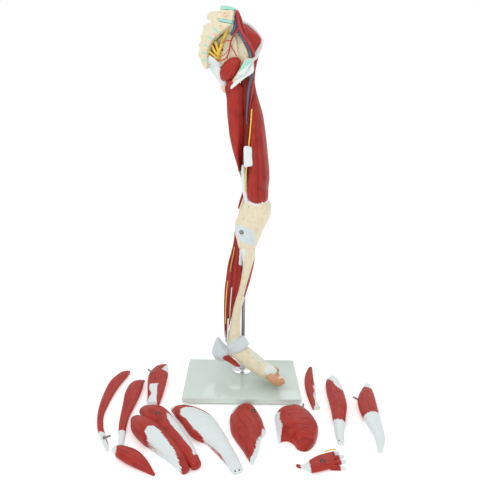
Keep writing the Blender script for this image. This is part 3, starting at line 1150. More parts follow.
def make_shank():
    """Tibia, fibula and the muscles between knee and ankle, with their nerves and tendons."""
    tibia = loft_mesh([(0.022, -0.036, 0.420, 0.024, 0.026), (0.027, -0.040, 0.392, 0.018, 0.022),
                       (0.025, -0.043, 0.360, 0.013, 0.017), (0.012, -0.046, 0.300, 0.011, 0.014),
                       (-0.001, -0.049, 0.240, 0.012, 0.014), (-0.007, -0.051, 0.180, 0.015, 0.015),
                       (-0.009, -0.053, 0.142, 0.019, 0.017),
                       (-0.009, -0.054, 0.108, 0.020, 0.018)],
                      level=True, along=90, around=64)

    def tibia_masks(x, y, z):
        strip_edge = brushed(0.0165 + 0.10 * (z - 0.35) - x, 0.006)
        return {"tendon": strip_edge * smoothstep(0.330, 0.340, z) * smoothstep(-0.040, -0.046, y)}

    bone("tibia_detail", [tibia], ["tibia"], 0.0015, 4, tibia_masks)
    fibula = loft_mesh([(-0.008, -0.022, 0.405, 0.008, 0.007),
                        (-0.011, -0.021, 0.385, 0.005, 0.005),
                        (-0.016, -0.021, 0.270, 0.005, 0.005), (-0.023, -0.026, 0.170, 0.005,
                        0.005), (-0.022, -0.029, 0.118, 0.008, 0.007)], level=True, along=60,
                       around=32)
    bone("fibula_detail", [fibula], ["fibula"], 0.0013, 4)
    calf = [(-0.0105, -0.050, 0.466, 0.0030, 0.005), (-0.0055, -0.050, 0.438, 0.0100, 0.013),
            (-0.0063, -0.044, 0.404, 0.0188, 0.018),
            (-0.0119, -0.047, 0.366, 0.0221, 0.021), (-0.0136, -0.049, 0.324, 0.0252, 0.022),
            (-0.0183, -0.050, 0.291, 0.0243, 0.022), (-0.0239, -0.049, 0.257, 0.0207, 0.020),
            (-0.0304, -0.048, 0.218, 0.0148, 0.018), (-0.0346, -0.048, 0.188, 0.0100, 0.015),
            (-0.0378, -0.050, 0.146, 0.0055, 0.010), (-0.0380, -0.050, 0.112, 0.003, 0.006)]
    white = [(0.008, 0.433), (0.017, 0.432), (0.024, 0.396), (0.018, 0.364), (0.006, 0.371),
             (0.008, 0.412)]

    def calf_mask(x, y, z):
        seen = x + 0.364 * (y + 0.065)
        inner = brushed(signed_distance(seen, z, white), 0.006) * (y < -0.02)
        return np.maximum(inner, brushed(0.128 - z, 0.02))

    belly_piece = belly("calf_flexors_detail", calf, calf_mask, ["calf_flexors"], seed=14.0,
                        along=150, around=110,
                        relief=furrows((-125, -88, -55, 60, 140), 0.14, 0.0014, 14.0))
    surface = Surface(belly_piece)
    front = [(0.030, -0.020, 0.412, 0.010, 0.010), (0.028, -0.024, 0.373, 0.0125, 0.014),
             (0.017, -0.027, 0.315, 0.0125, 0.013), (0.006, -0.030, 0.266, 0.0105, 0.011),
             (-0.004, -0.034, 0.211, 0.007, 0.008), (-0.001, -0.038, 0.150, 0.004, 0.005),
             (0.010, -0.050, 0.128, 0.004, 0.004)]
    belly("tibialis_detail", front, lambda x, y, z: brushed(0.262 - z, 0.014),
          ["tibialis_muscle"], seed=15.0, along=130, around=64)
    vessel("tibial_nerve", YELLOW_PAINT, "nerve_yellow",
           [(surface.route([(-0.009, 0.424), (-0.013, 0.400), (-0.017, 0.373), (-0.019, 0.350)],
                           0.0003), 0.0010, 0.8),
            (surface.route([(-0.027, 0.318), (-0.031, 0.274), (-0.034, 0.226),
                            (-0.036, 0.178)], 0.0005), 0.0015, 0.8)])
    vessel("flexor_tendons", WHITE_PAINT, "tendon_white",
           [(surface.route([(-0.013, 0.300), (-0.015, 0.279), (-0.018, 0.253), (-0.021, 0.224),
                            (-0.025, 0.190)], 0.0004), 0.0015, 0.8),
            ([(-0.027, -0.062, 0.194), (-0.027, -0.0645, 0.161), (-0.028, -0.065, 0.112)],
             0.0026, 1.0),
            ([(-0.038, -0.059, 0.190), (-0.038, -0.058, 0.156), (-0.036, -0.056, 0.114)],
             0.0020, 1.0)])
    vessel("popliteal_cord", ARTERY_PAINT, "artery_red",
           [([(0.006, -0.010, 0.600), (-0.012, -0.004, 0.540), (-0.016, -0.004, 0.490),
              (-0.014, -0.014, 0.440), (-0.012, -0.026, 0.400)], 0.0030, 0.8)])


def make_foot():
    """Ankle band, heel, foot, toes and the muscle along the sole's inner edge."""
    band = loft_mesh([(0.0140, -0.054, 0.0950, 0.022, 0.020), (0.0115, -0.055, 0.0985, 0.0310,
                      0.0300), (0.0020, -0.055, 0.1120, 0.0320, 0.0310),
                      (-0.0050, -0.055, 0.1225, 0.0285, 0.0265),
                      (-0.0068, -0.055, 0.1250, 0.020, 0.018)],
                     side=(0.82, 0, 0.57), up=(0, 1, 0), along=40, around=80)
    add_piece("ankle_band_detail", fused("ankle_band_detail", [band], 0.0015, 4), "leg",
              "tendon_white", GREY_WHITE_PAINT, ["ankle_band"])
    stump = loft_mesh([(-0.0660, -0.050, 0.117, 0.0070, 0.009), (-0.0640, -0.050, 0.106, 0.0130,
                       0.013), (-0.060, -0.050, 0.096, 0.020, 0.018), (-0.053, -0.050, 0.085,
                       0.0310, 0.022), (-0.052, -0.051, 0.070, 0.0320, 0.025), (-0.053, -0.050,
                       0.055, 0.024, 0.018)], level=True, along=60, around=80)
    add_piece("heel_detail", fused("heel_detail", [stump], 0.0016, 5), "leg", "tendon_white",
              GREY_WHITE_PAINT, ["heel"])
    body = loft_mesh([(-0.018, -0.053, 0.080, 0.020, 0.012), (0.000, -0.054, 0.084, 0.028, 0.020),
                      (0.018, -0.055, 0.082, 0.031, 0.028), (0.034, -0.056, 0.075, 0.034, 0.030),
                      (0.062, -0.057, 0.059, 0.037, 0.028), (0.090, -0.058, 0.045, 0.040, 0.024),
                      (0.112, -0.058, 0.040, 0.039, 0.018), (0.124, -0.053, 0.036, 0.030, 0.012)],
                     power=2.5, side=(0, 0.93, -0.36), up=(0, 0.36, 0.93), along=80,
                     around=96)
    ball = ball_mesh((0.096, -0.083, 0.044), 0.014, (1.3, 0.9, 1.0))

    def masks(x, y, z):
        white = brushed(0.003 - np.abs(z - (0.0655 - 0.05 * x)), 0.008)
        white = white * smoothstep(0.055, 0.020, x)
        toe_white = brushed(x - 0.104, 0.008) * smoothstep(0.060, 0.066, z + 0.5 * (x - 0.09))
        return {"tendon": np.clip(np.maximum(white, toe_white), 0, 1)}

    foot = bone("foot_detail", [body, ball], ["foot"], 0.0018, 6, masks)
    toe = loft_mesh([(0.112, -0.087, 0.044, 0.010, 0.009), (0.122, -0.089, 0.039, 0.0125, 0.0105),
                     (0.132, -0.091, 0.0345, 0.0130, 0.0130), (0.144, -0.093, 0.0345, 0.0140,
                     0.0152), (0.155, -0.093, 0.0345, 0.0130, 0.0130), (0.163, -0.093, 0.0345,
                     0.0070, 0.0060)], along=50, around=64)
    nail = ball_mesh((0.151, -0.0935, 0.0478), 0.0072, (1.1, 1.0, 0.22))
    add_piece("big_toe_detail", fused("big_toe_detail", [toe], 0.0012, 4), "leg", "toe_skin",
              SKIN_PAINT, ["big_toe"])
    add_piece("toe_nail", nail, "leg", "toe_skin", NAIL_PAINT)
    for number in range(4):
        y = -0.0700 + 0.0125 * number
        reach = 0.146 - 0.0065 * number
        small = loft_mesh([(0.110, y, 0.040, 0.0070, 0.0070), (0.124, y, 0.037, 0.0068, 0.0072),
                           (reach - 0.012, y, 0.031, 0.0062, 0.0068),
                           (reach, y, 0.024, 0.0062, 0.0060)], along=30, around=32)
        add_piece("toe_" + str(number + 2), small, "leg", "toe_skin", SKIN_PAINT)
    abductor = [(-0.045, -0.064, 0.066, 0.0045, 0.0045), (-0.028, -0.071, 0.068, 0.0090, 0.0080),
                (-0.012, -0.077, 0.066, 0.0095, 0.0075), (0.004, -0.083, 0.061, 0.0080, 0.0058),
                (0.020, -0.088, 0.057, 0.0040, 0.0030)]
    belly("abductor_hallucis_detail", abductor, None, ["abductor_hallucis"], seed=16.0,
          level=False, along=80, around=56)
    top = Surface(foot, turned=True)
    vessel("toe_tendons", WHITE_PAINT, "tendon_white",
           [(top.route([(0.020, -0.060 + 0.004 * k), (0.056, -0.070 + 0.010 * k),
                        (0.090, -0.080 + 0.014 * k), (0.112, -0.084 + 0.015 * k)], 0.0002),
             0.0013, 0.9) for k in range(4)])
    belly("toe_extensor", [(0.094, -0.074, 0.068, 0.003, 0.002), (0.104, -0.077, 0.062, 0.004,
                           0.003), (0.114, -0.080, 0.056, 0.003, 0.002)], seed=17.0, level=False,
          along=40, around=32)


# Muscles taken off ---------------------------------------------------------------------------
FRONT_LEFT = Vector((PLATE_LOW.x, PLATE_LOW.y, 0.0))
FRONT_CENTRE = Vector(((PLATE_LOW.x + PLATE_HIGH.x) / 2, PLATE_LOW.y, 0.0))
FRONT_RIGHT = Vector((PLATE_HIGH.x, PLATE_LOW.y, 0.0))


def settle(points):
    """Let a lying piece down on the floor, with its underside pressed a little flat."""
    points = points.copy()
    points[..., 2] += FLOOR_GAP - points[..., 2].min() - 0.0016
    low = points[..., 2] < FLOOR_GAP
    points[..., 2] = np.where(low, FLOOR_GAP, points[..., 2])
    return points


def add_lying(name, muscle, corner, points, uv, grooves, white, replaces):
    """Add a lying muscle's rings as a piece, white inside the given plan outlines."""
    tendon = np.zeros(grooves.shape)
    for outline in white:
        plan = signed_distance(points[..., 0], points[..., 1], outline)
        tendon = np.maximum(tendon, brushed(plan))
    world = settle(points * LIFE)
    world[..., 0] += corner.x
    world[..., 1] += corner.y
    mesh = grid_mesh(name, world, uv, {"groove": grooves, "tendon": tendon})
    outward(mesh)
    return add_piece(name, mesh, muscle + "_piece", "muscle_red", MUSCLE_PAINT, replaces,
                     in_leg=False)


def lying(name, muscle, corner, stations, height, white, seed, across=None, replaces=None,
          along=150, around=96, relief=None, power=2.3, cap=0.6):
    """A muscle that lies on the table. Stations are x, y from a plate corner and half-width."""
    widest = max(width for x, y, width in stations)
    rows = []
    for x, y, width in stations:
        half_height = height / 2 * (width / widest) ** 0.6
        rows.append((x, y, half_height, width, half_height))
    texture = relief or fibres(seed)
    points, uv, v, angle = loft(rows, along=along, around=around, relief=texture, side=across,
                                power=power, cap=cap)
    grooves = np.clip(-texture(v, angle * 0.03, angle) / 0.0011, 0, 1)
    return add_lying(name, muscle, corner, points, uv, grooves, white,
                     [muscle] if replaces is None else replaces)


def pillow(name, muscle, corner, outline, centre, height, direction, white, seed, plump=0.5,
           curve=0.0, bundle=0.016):
    """A broad muscle that lies on the table, domed inside a plan outline.

    Its fibres run along a direction in plan, and with curve they bend like arcs.
    """
    rim = closed_curve(outline, 200)
    centre = np.array(centre)
    scales = np.concatenate([np.linspace(0.05, 0.9, 12), [0.95, 0.98],
                             1 - 0.006 * np.linspace(1, 0, 3) ** 2,
                             np.cos(np.linspace(0.0, pi / 2, 76))[1:-1]])
    lift = np.concatenate([np.zeros(14), [0.02, 0.06, 0.12],
                           0.12 + 0.88 * np.sin(np.linspace(0, pi / 2, 76))[1:-1] ** (2 * plump)])
    plan = centre + (rim - centre)[None] * scales[:, None, None]
    run = np.array(direction, float) / np.hypot(*direction)
    along = plan @ run
    across = plan @ np.array([run[1], -run[0]]) + curve * (along - centre @ run) ** 2
    texture = fibres(seed, bundle=bundle, bundle_depth=0.0011)
    grooves = texture(along, across, 0 * along)
    edge = smoothstep(1.0, 0.93, scales)[:, None]
    top = (lift > 0.1)[:, None]
    z = height * lift[:, None] + np.where(top, grooves * (0.4 + 0.6 * edge), 0.0)
    points = np.concatenate([plan, z[..., None]], axis=2)
    shade = np.clip(-grooves / 0.0014, 0, 1)
    return add_lying(name, muscle, corner, points, (across, along), shade, white, [muscle])


def surface_height(piece, x, y, reach=0.004):
    """The highest point of a piece near a place."""
    places = vertex_points(piece.data)
    near = np.hypot(places[:, 0] - x, places[:, 1] - y) < reach
    return float(places[near, 2].max())


def top_socket(name, muscle, piece, corner, place, radius, direction=(0, -0.35, 1)):
    """A metal socket let into the top of a lying muscle."""
    x, y = corner.x + place[0] * LIFE, corner.y + place[1] * LIFE
    height = surface_height(piece, x, y)
    socket(name, muscle + "_piece", (x, y, height + 0.0004), direction, radius)


def make_left_muscles():
    """The muscles to the left of the plate and in front of its left half."""
    lying("sartorius_detail", "sartorius", FRONT_LEFT,
          [(-0.195, 0.186, 0.0080), (-0.205, 0.160, 0.0165), (-0.218, 0.110, 0.0190),
           (-0.223, 0.050, 0.0158), (-0.223, -0.010, 0.0128), (-0.219, -0.065, 0.0092),
           (-0.204, -0.125, 0.0080), (-0.176, -0.188, 0.0070), (-0.163, -0.217, 0.0030)], 0.019,
          [[(-0.216, -0.152), (-0.200, -0.147), (-0.184, -0.152), (-0.150, -0.240),
            (-0.185, -0.240)]], 21.0)
    lying("gracilis_detail", "gracilis", FRONT_LEFT,
          [(-0.134, 0.135, 0.0030), (-0.148, 0.101, 0.0195), (-0.151, 0.047, 0.0235),
           (-0.150, -0.013, 0.0185), (-0.150, -0.066, 0.0135), (-0.146, -0.119, 0.0105),
           (-0.138, -0.164, 0.0085), (-0.133, -0.201, 0.0070)], 0.023,
          [[(-0.170, -0.150), (-0.148, -0.142), (-0.120, -0.146), (-0.110, -0.220),
            (-0.160, -0.220)]], 22.0, cap=0.3)
    lying("tensor_detail", "tensor_fasciae_latae", FRONT_LEFT,
          [(-0.078, 0.232, 0.0090), (-0.088, 0.201, 0.0230), (-0.091, 0.151, 0.0310),
           (-0.087, 0.093, 0.0280), (-0.083, 0.039, 0.0230), (-0.081, -0.011, 0.0180)], 0.027,
          [[(-0.084, 0.172), (-0.076, 0.205), (-0.075, 0.240), (-0.040, 0.240), (-0.040, 0.160),
            (-0.068, 0.163)],
           [(-0.107, 0.082), (-0.080, 0.082), (-0.080, 0.045), (-0.074, 0.005), (-0.062, -0.040),
            (-0.104, -0.040), (-0.100, 0.000), (-0.094, 0.030), (-0.106, 0.062)]], 23.0, cap=0.3)
    inner = lying("gastrocnemius_inner", "gastrocnemius", FRONT_LEFT,
                  [(-0.098, -0.052, 0.018), (-0.066, -0.082, 0.034), (-0.028, -0.132, 0.030),
                   (0.008, -0.184, 0.024), (0.038, -0.234, 0.021), (0.064, -0.280, 0.014)],
                  0.042,
                  [[(-0.030, -0.100), (-0.006, -0.110), (0.034, -0.176), (0.070, -0.250),
                    (0.058, -0.262), (0.046, -0.236), (0.018, -0.192), (-0.014, -0.148),
                    (-0.026, -0.122)]], 24.0)
    lying("gastrocnemius_outer", "gastrocnemius", FRONT_LEFT,
          [(-0.115, -0.095, 0.0155), (-0.088, -0.135, 0.0325), (-0.054, -0.177, 0.0355),
           (-0.022, -0.213, 0.0295), (0.010, -0.249, 0.0225), (0.040, -0.295, 0.0115)], 0.042,
          [[(-0.074, -0.184), (-0.070, -0.168), (-0.054, -0.164), (-0.040, -0.178),
            (-0.022, -0.204), (0.011, -0.254), (0.040, -0.320), (0.030, -0.326),
            (0.004, -0.286), (-0.032, -0.246), (-0.062, -0.215)]], 25.0, replaces=[])
    top_socket("gastrocnemius_socket", "gastrocnemius", inner, FRONT_LEFT, (-0.053, -0.108),
               0.0058)
    calf = lying("soleus_detail", "soleus", FRONT_LEFT,
                 [(-0.023, -0.030, 0.0085), (0.007, -0.052, 0.0275), (0.047, -0.096, 0.0405),
                  (0.077, -0.146, 0.0425), (0.103, -0.176, 0.0305), (0.127, -0.218, 0.0225),
                  (0.146, -0.254, 0.0185), (0.164, -0.296, 0.0145)], 0.036,
                 [[(0.004, -0.064), (0.016, -0.056), (0.040, -0.058), (0.070, -0.080),
                   (0.104, -0.106), (0.140, -0.180), (0.190, -0.300), (0.160, -0.340),
                   (0.147, -0.300), (0.124, -0.250), (0.103, -0.221), (0.075, -0.189),
                   (0.049, -0.161), (0.025, -0.118), (0.006, -0.086)],
                  [(-0.040, -0.050), (-0.018, -0.044), (-0.012, -0.020), (-0.040, -0.010)]],
                 26.0, cap=0.3)
    for number, place in enumerate(((0.158, -0.303), (0.168, -0.299))):
        x, y = FRONT_LEFT.x + place[0] * LIFE, FRONT_LEFT.y + place[1] * LIFE
        pit = lathe_mesh([(0.0001, 0.0004), (0.0016, 0.0004), (0.0020, 0.0), (0.0001, -0.0004)],
                         24)
        place_turned(pit, (x, y, surface_height(calf, x, y, 0.008) - 0.004), (0.4, -1, 0.5))
        add_piece("tendon_hole_" + str(number), pit, "soleus_piece", "steel", DARK_STEEL,
                  in_leg=False)
    lying("adductor_longus_detail", "adductor_longus", FRONT_LEFT,
          [(-0.144, -0.216, 0.0112), (-0.128, -0.228, 0.0182), (-0.096, -0.251, 0.0222),
           (-0.066, -0.275, 0.0162), (-0.032, -0.304, 0.0032)], 0.025,
          [[(-0.174, -0.194), (-0.138, -0.204), (-0.135, -0.254), (-0.174, -0.254)]], 27.0)


def make_front_muscles():
    """The two broad buttock muscles in front of the plate."""
    leaf = [(-0.034, -0.072), (-0.029, -0.043), (-0.016, -0.018), (0.004, -0.002),
            (0.022, -0.005), (0.035, -0.020), (0.053, -0.074), (0.059, -0.106), (0.062, -0.142),
            (0.050, -0.166), (0.044, -0.203), (0.035, -0.238), (0.025, -0.266), (0.013, -0.240),
            (0.002, -0.212), (-0.016, -0.172), (-0.030, -0.132)]
    medius = pillow("gluteus_medius_detail", "gluteus_medius", FRONT_CENTRE, leaf,
                    (0.012, -0.115), 0.032, (0.35, -1.0),
                    [[(-0.040, -0.076), (-0.025, -0.070), (-0.014, -0.044), (-0.002, -0.022),
                      (0.012, -0.008), (0.000, 0.010), (-0.040, 0.000)],
                     [(0.066, -0.134), (0.053, -0.142), (0.050, -0.158), (0.040, -0.184),
                      (0.034, -0.214), (0.026, -0.244), (0.014, -0.262), (0.020, -0.284),
                      (0.040, -0.280), (0.066, -0.180)]], 31.0, plump=0.42, bundle=0.020)
    top_socket("gluteus_medius_socket", "gluteus_medius", medius, FRONT_CENTRE,
               (0.032, -0.068), 0.0058)
    dome = [(-0.084, -0.070), (-0.064, -0.036), (-0.037, -0.024), (-0.012, -0.022),
            (0.010, -0.046), (0.023, -0.078), (0.030, -0.118), (0.020, -0.162), (0.006, -0.192),
            (-0.012, -0.210), (-0.028, -0.208), (-0.036, -0.200), (-0.042, -0.184),
            (-0.055, -0.170), (-0.070, -0.171), (-0.082, -0.178), (-0.083, -0.140),
            (-0.084, -0.100)]
    pillow("gluteus_maximus_detail", "gluteus_maximus", FRONT_RIGHT, dome, (-0.034, -0.112),
           0.045, (1.0, 0.10),
           [[(-0.095, -0.060), (-0.078, -0.066), (-0.071, -0.088), (-0.074, -0.114),
             (-0.069, -0.142), (-0.072, -0.162), (-0.078, -0.190), (-0.095, -0.190)]], 32.0,
           plump=0.42, curve=2.5, bundle=0.022)


def make_right_muscles():
    """The muscles to the right of the plate, and the sole muscle with its four tendons."""
    lying("extensor_digitorum_detail", "extensor_digitorum", FRONT_RIGHT,
          [(0.057, 0.231, 0.006), (0.046, 0.181, 0.012), (0.039, 0.130, 0.015),
           (0.036, 0.076, 0.015), (0.035, 0.024, 0.011), (0.040, -0.018, 0.012)], 0.016,
          [[(0.045, 0.098), (0.062, 0.098), (0.066, -0.040), (0.020, -0.045), (0.036, -0.016),
            (0.040, 0.010), (0.038, 0.040), (0.046, 0.064)]], 33.0)
    biceps = lying("biceps_detail", "biceps_femoris", FRONT_RIGHT,
                   [(0.118, 0.160, 0.009), (0.111, 0.115, 0.022), (0.107, 0.058, 0.026),
                    (0.104, -0.010, 0.025), (0.097, -0.059, 0.020), (0.089, -0.108, 0.0155),
                    (0.082, -0.150, 0.012), (0.080, -0.184, 0.0085)], 0.031,
                   [[(0.094, 0.124), (0.104, 0.104), (0.112, 0.064), (0.124, 0.050),
                     (0.145, 0.060), (0.140, 0.180), (0.090, 0.180)],
                    [(0.060, -0.092), (0.086, -0.096), (0.112, -0.104), (0.110, -0.210),
                     (0.050, -0.210)]], 34.0, cap=0.3)
    x, y = FRONT_RIGHT.x + 0.075 * LIFE, FRONT_RIGHT.y - 0.182 * LIFE
    pit = lathe_mesh([(0.0001, 0.0004), (0.0015, 0.0004), (0.0018, 0.0), (0.0001, -0.0004)], 24)
    place_turned(pit, (x, y, surface_height(biceps, x, y, 0.006) - 0.001), (0.0, -0.6, 0.8))
    add_piece("biceps_hole", pit, "biceps_femoris_piece", "steel", DARK_STEEL, in_leg=False)
    lying("semitendinosus_detail", "semitendinosus", FRONT_RIGHT,
          [(0.220, 0.115, 0.008), (0.206, 0.062, 0.019), (0.192, 0.010, 0.0265),
           (0.186, -0.037, 0.0265), (0.185, -0.084, 0.023), (0.186, -0.127, 0.018),
           (0.184, -0.168, 0.013), (0.172, -0.212, 0.006)], 0.029,
          [[(0.190, 0.130), (0.202, 0.086), (0.214, 0.076), (0.240, 0.068), (0.240, 0.130)],
           [(0.150, -0.092), (0.166, -0.074), (0.184, -0.066), (0.215, -0.062),
            (0.215, -0.230), (0.150, -0.240)]], 35.0)
    body = lying("toe_flexor_detail", "short_toe_flexor", FRONT_RIGHT,
                 [(-0.043, -0.266, 0.005), (-0.033, -0.271, 0.007), (-0.022, -0.274, 0.012),
                  (-0.010, -0.273, 0.021), (0.010, -0.264, 0.026), (0.028, -0.256, 0.027),
                  (0.040, -0.252, 0.027), (0.046, -0.250, 0.023)], 0.018,
                 [[(-0.036, -0.256), (-0.014, -0.244), (-0.012, -0.300), (-0.034, -0.290)]], 36.0,
                 across=(0, 1, 0), along=120)
    top_socket("toe_flexor_socket", "short_toe_flexor", body, FRONT_RIGHT, (0.018, -0.268),
               0.0060)
    for number, (ax, ay, bx, by) in enumerate(((0.032, -0.232, 0.067, -0.217),
                                               (0.038, -0.247, 0.077, -0.231),
                                               (0.040, -0.262, 0.078, -0.251),
                                               (0.038, -0.275, 0.072, -0.277))):
        tip = [(bx - 0.012, by - 0.02), (bx - 0.012, by + 0.02), (bx + 0.02, by + 0.02),
               (bx + 0.02, by - 0.02)]
        lying("toe_flexor_finger_" + str(number), "short_toe_flexor", FRONT_RIGHT,
              [(ax, ay, 0.0065), ((ax + bx) / 2, (ay + by) / 2, 0.0060), (bx, by, 0.0040)],
              0.0125, [tip], 37.0 + number, across=(0, 1, 0), replaces=[], along=40, around=32)
    nerve = cord_mesh("nerve", np.array([(0.030, -0.228, 0.0150), (0.046, -0.221, 0.0150),
                                         (0.060, -0.215, 0.0120)]), 0.0016, samples=20)
    nerve.transform(Matrix.Translation(FRONT_RIGHT) @ Matrix.Scale(LIFE, 4))
    add_piece("toe_flexor_nerve", nerve, "short_toe_flexor_piece", "nerve_yellow", YELLOW_PAINT,
              in_leg=False)


# The stand -----------------------------------------------------------------------------------
def make_stand():
    """The rounded plate, and the turned rod, flange and collar."""
    size = PLATE_HIGH - PLATE_LOW
    work = bmesh.new()
    bmesh.ops.create_cube(work, size=1.0)
    bmesh.ops.scale(work, verts=work.verts, vec=size)
    bmesh.ops.translate(work, verts=work.verts, vec=(PLATE_LOW + PLATE_HIGH) / 2)
    upright = [edge for edge in work.edges
               if abs(edge.verts[0].co.z - edge.verts[1].co.z) > size.z / 2]
    bmesh.ops.bevel(work, geom=upright, offset=0.006, segments=8, affect="EDGES", profile=0.5)
    rims = [edge for edge in work.edges if len(edge.link_faces) == 2
            and edge.calc_face_angle() > radians(60)]
    bmesh.ops.bevel(work, geom=rims, offset=0.0022, segments=4, affect="EDGES", profile=0.5)
    mesh = bpy.data.meshes.new("base_plate_detail")
    work.to_mesh(mesh)
    work.free()
    plate = add_piece("base_plate_detail", mesh, "stand", "base_plate", PLATE_PAINT,
                      ["base_plate"], in_leg=False)
    plate.data.set_sharp_from_angle(angle=radians(50))
    axis = (ROD_CENTRE.x, ROD_CENTRE.y, 0.0)
    radius = ROD_RADIUS
    rod = lathe_mesh([(0.0001, ROD_HIGH.z), (radius - 0.0015, ROD_HIGH.z),
                      (radius - 0.0004, ROD_HIGH.z - 0.0004), (radius, ROD_HIGH.z - 0.0015),
                      (radius, ROD_HIGH.z - 0.10), (radius, ROD_LOW.z + 0.10),
                      (radius, ROD_LOW.z), (0.0001, ROD_LOW.z)])
    flange_low, flange_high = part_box("base_flange")
    collar_low, collar_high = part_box("rod_collar")
    rim, base = (flange_high.x - flange_low.x) / 2, flange_low.z
    thick = flange_high.z - flange_low.z
    hub = (collar_high.x - collar_low.x) / 2 + 0.003
    bend = [(hub + (rim - 0.001 - hub) * t, base + thick * (0.18 + 0.82 * (1 - t) ** 2.2))
            for t in np.linspace(0, 1, 14)]
    flange = lathe_mesh([(radius + 0.0006, base), (radius + 0.0006, base + thick),
                         (hub - 0.001, base + thick), *bend, (rim, base + 0.0004), (rim, base)],
                        128)
    collar_radius = (collar_high.x - collar_low.x) / 2
    top = collar_high.z
    round_top = [(collar_radius - 0.0015 + 0.0015 * sin(a), top - 0.0015 + 0.0015 * cos(a))
                 for a in np.linspace(0, pi / 2, 6)]
    collar = lathe_mesh([(radius + 0.0004, collar_low.z), (radius + 0.0004, top),
                         (radius + 0.0012, top), *round_top, (collar_radius, collar_low.z)])
    screw = lathe_mesh([(0.0001, 0.0006), (0.0013, 0.0006), (0.0024, 0.0002), (0.0026, -0.001),
                        (0.0001, -0.001)], 32)
    place_turned(screw, (0.0, -collar_radius, (collar_low.z + top) / 2), (0, -1, 0))
    for name, mesh, slot, paint, nodes in (
            ("support_rod_detail", rod, "chrome", ROD_STEEL, ["support_rod"]),
            ("base_flange_detail", flange, "chrome", CHROME, ["base_flange"]),
            ("rod_collar_detail", collar, "chrome", CHROME, ["rod_collar"]),
            ("collar_screw", screw, "steel", STEEL, [])):
        mesh.transform(Matrix.Translation(axis))
        piece = add_piece(name, mesh, "stand", slot, paint, nodes, in_leg=False)
        piece.data.set_sharp_from_angle(angle=radians(35))


def finish_cad_nodes():
    """Better materials for the CAD nodes that stay: fixings, bush, pad and muscle pins."""
    for node, paint in (("base_pad", RUBBER_PAINT), ("rod_nut", STEEL), ("rod_washer", STEEL),
                        ("rod_bush", STEEL), ("sartorius_pin", PIN_STEEL),
                        ("tensor_pin", PIN_STEEL), ("gluteus_pin", PIN_STEEL),
                        ("semitendinosus_pin", PIN_STEEL)):
        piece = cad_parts[node]
        piece.data.materials.clear()
        piece.data.materials.append(paint)


# Studio --------------------------------------------------------------------------------------
def make_studio():
    """A white room: pale floor, even light, and dark flags that only metal reflects."""
    work = bmesh.new()
    bmesh.ops.create_grid(work, x_segments=4, y_segments=4, size=6.0)
    mesh = bpy.data.meshes.new("floor")
    work.to_mesh(mesh)
    work.free()
    floor = bpy.data.objects.new("floor", mesh)
    floor.data.materials.append(floor_paint())
    bpy.context.scene.collection.objects.link(floor)
    floor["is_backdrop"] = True
    make_world()
    for name, place, size, power in (("key", (-1.1, -1.5, 2.4), 1.4, 15.0),
                                     ("fill", (1.6, -1.2, 1.6), 1.6, 4.0),
                                     ("back", (0.3, 1.8, 2.2), 1.6, 8.0)):
        light = bpy.data.lights.new(name, "AREA")
        light.size = size
        light.energy = power
        lamp = bpy.data.objects.new(name, light)
        lamp.location = place
        aim = Vector((0.0, 0.0, 0.45)) - Vector(place)
        lamp.rotation_euler = aim.to_track_quat("-Z", "Y").to_euler()
        bpy.context.scene.collection.objects.link(lamp)


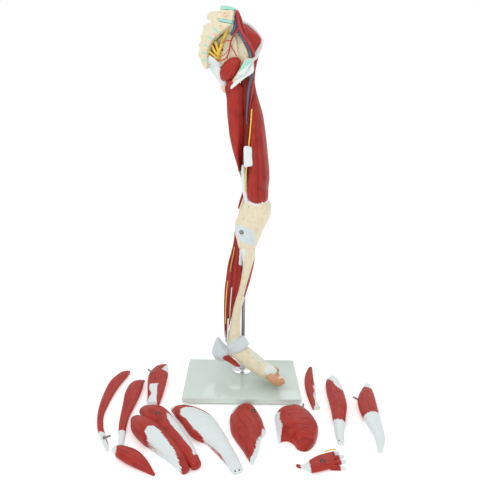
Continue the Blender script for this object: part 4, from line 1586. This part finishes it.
def make_world():
    """Even white light, a little dimmer than the background, with dark flags for metal."""
    world = bpy.data.worlds.new("studio")
    world.use_nodes = True
    bpy.context.scene.world = world
    nodes, links = world.node_tree.nodes, world.node_tree.links
    background = nodes["Background"]

    def connect(source, target):
        if hasattr(source, "links"):
            links.new(source, target)
        else:
            target.default_value = source

    def math(operation, *values):
        made = nodes.new("ShaderNodeMath")
        made.operation = operation
        for value, target in zip(values, made.inputs):
            connect(value, target)
        return made.outputs[0]

    def remap(value, settings, interpolation="LINEAR"):
        made = nodes.new("ShaderNodeMapRange")
        made.interpolation_type = interpolation
        for key, number in settings.items():
            made.inputs[key].default_value = number
        connect(value, made.inputs["Value"])
        return made.outputs["Result"]

    split = nodes.new("ShaderNodeSeparateXYZ")
    connect(nodes.new("ShaderNodeTexCoord").outputs["Generated"], split.inputs[0])
    x, y, z = split.outputs
    turn = math("ARCTAN2", x, y)
    stripes = math("COSINE", math("MULTIPLY", turn, 5.0))
    flags = remap(stripes, {"From Min": 0.55, "From Max": 0.85}, "SMOOTHSTEP")
    level_band = remap(math("ABSOLUTE", z), {"From Min": 0.20, "From Max": 0.45,
                                             "To Min": 1.0, "To Max": 0.0})
    rays = nodes.new("ShaderNodeLightPath").outputs
    seen = math("MULTIPLY", math("MULTIPLY", flags, level_band), rays["Is Glossy Ray"])
    tone = nodes.new("ShaderNodeMix")
    tone.data_type = "RGBA"
    tone.inputs[6].default_value = (1.0, 1.0, 1.0, 1.0)
    tone.inputs[7].default_value = (0.16, 0.16, 0.17, 1.0)
    connect(seen, tone.inputs[0])
    connect(tone.outputs[2], background.inputs["Color"])
    connect(remap(rays["Is Camera Ray"], {"To Min": 0.80, "To Max": 1.0}),
            background.inputs["Strength"])


def floor_paint():
    """Matt white table paper."""
    paint = Paint("floor_white", 0.9)
    paint.shader.inputs["Specular IOR Level"].default_value = 0.1
    paint.shader.inputs["Emission Color"].default_value = (1.0, 1.0, 1.0, 1.0)
    paint.shader.inputs["Emission Strength"].default_value = 0.28
    grain = paint.noise(paint.coordinates((60, 60, 60)), 2.0)
    return paint.finish(paint.mix(paint.math("MULTIPLY", grain, 0.1), (0.93, 0.93, 0.93),
                                  (0.90, 0.90, 0.90)))


def make_camera():
    """A camera in front of the stand, just under the hip's height, tipped down at the foot."""
    place = Vector((-0.0181, -1.4706, 0.8204))
    yaw, pitch, roll = radians(0.279), radians(13.497), radians(0.769)
    forward = Vector((sin(yaw) * cos(pitch), cos(yaw) * cos(pitch), -sin(pitch)))
    right = Vector((cos(yaw), -sin(yaw), 0.0))
    up = right.cross(forward)
    right, up = right * cos(roll) + up * sin(roll), up * cos(roll) - right * sin(roll)
    camera = bpy.data.cameras.new("camera")
    camera.lens = 38.52
    camera.sensor_width = 36.0
    holder = bpy.data.objects.new("camera", camera)
    turn = Matrix((right, up, -forward)).transposed()
    holder.matrix_world = Matrix.Translation(place) @ turn.to_4x4()
    bpy.context.scene.collection.objects.link(holder)
    bpy.context.scene.camera = holder
    bpy.context.scene.view_settings.view_transform = "Standard"


make_camera()
make_studio()
make_stand()
finish_cad_nodes()
make_spine()
make_sacrum()
make_hip_bone()
make_femur()
make_pelvic_soft_parts()
make_thigh()
make_knee()
make_shank()
make_foot()
make_left_muscles()
make_front_muscles()
make_right_muscles()

boxes = {"cad": CAD_BOUNDS, "visual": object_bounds()}
{key: [list(corner) for corner in box] for key, box in boxes.items()}
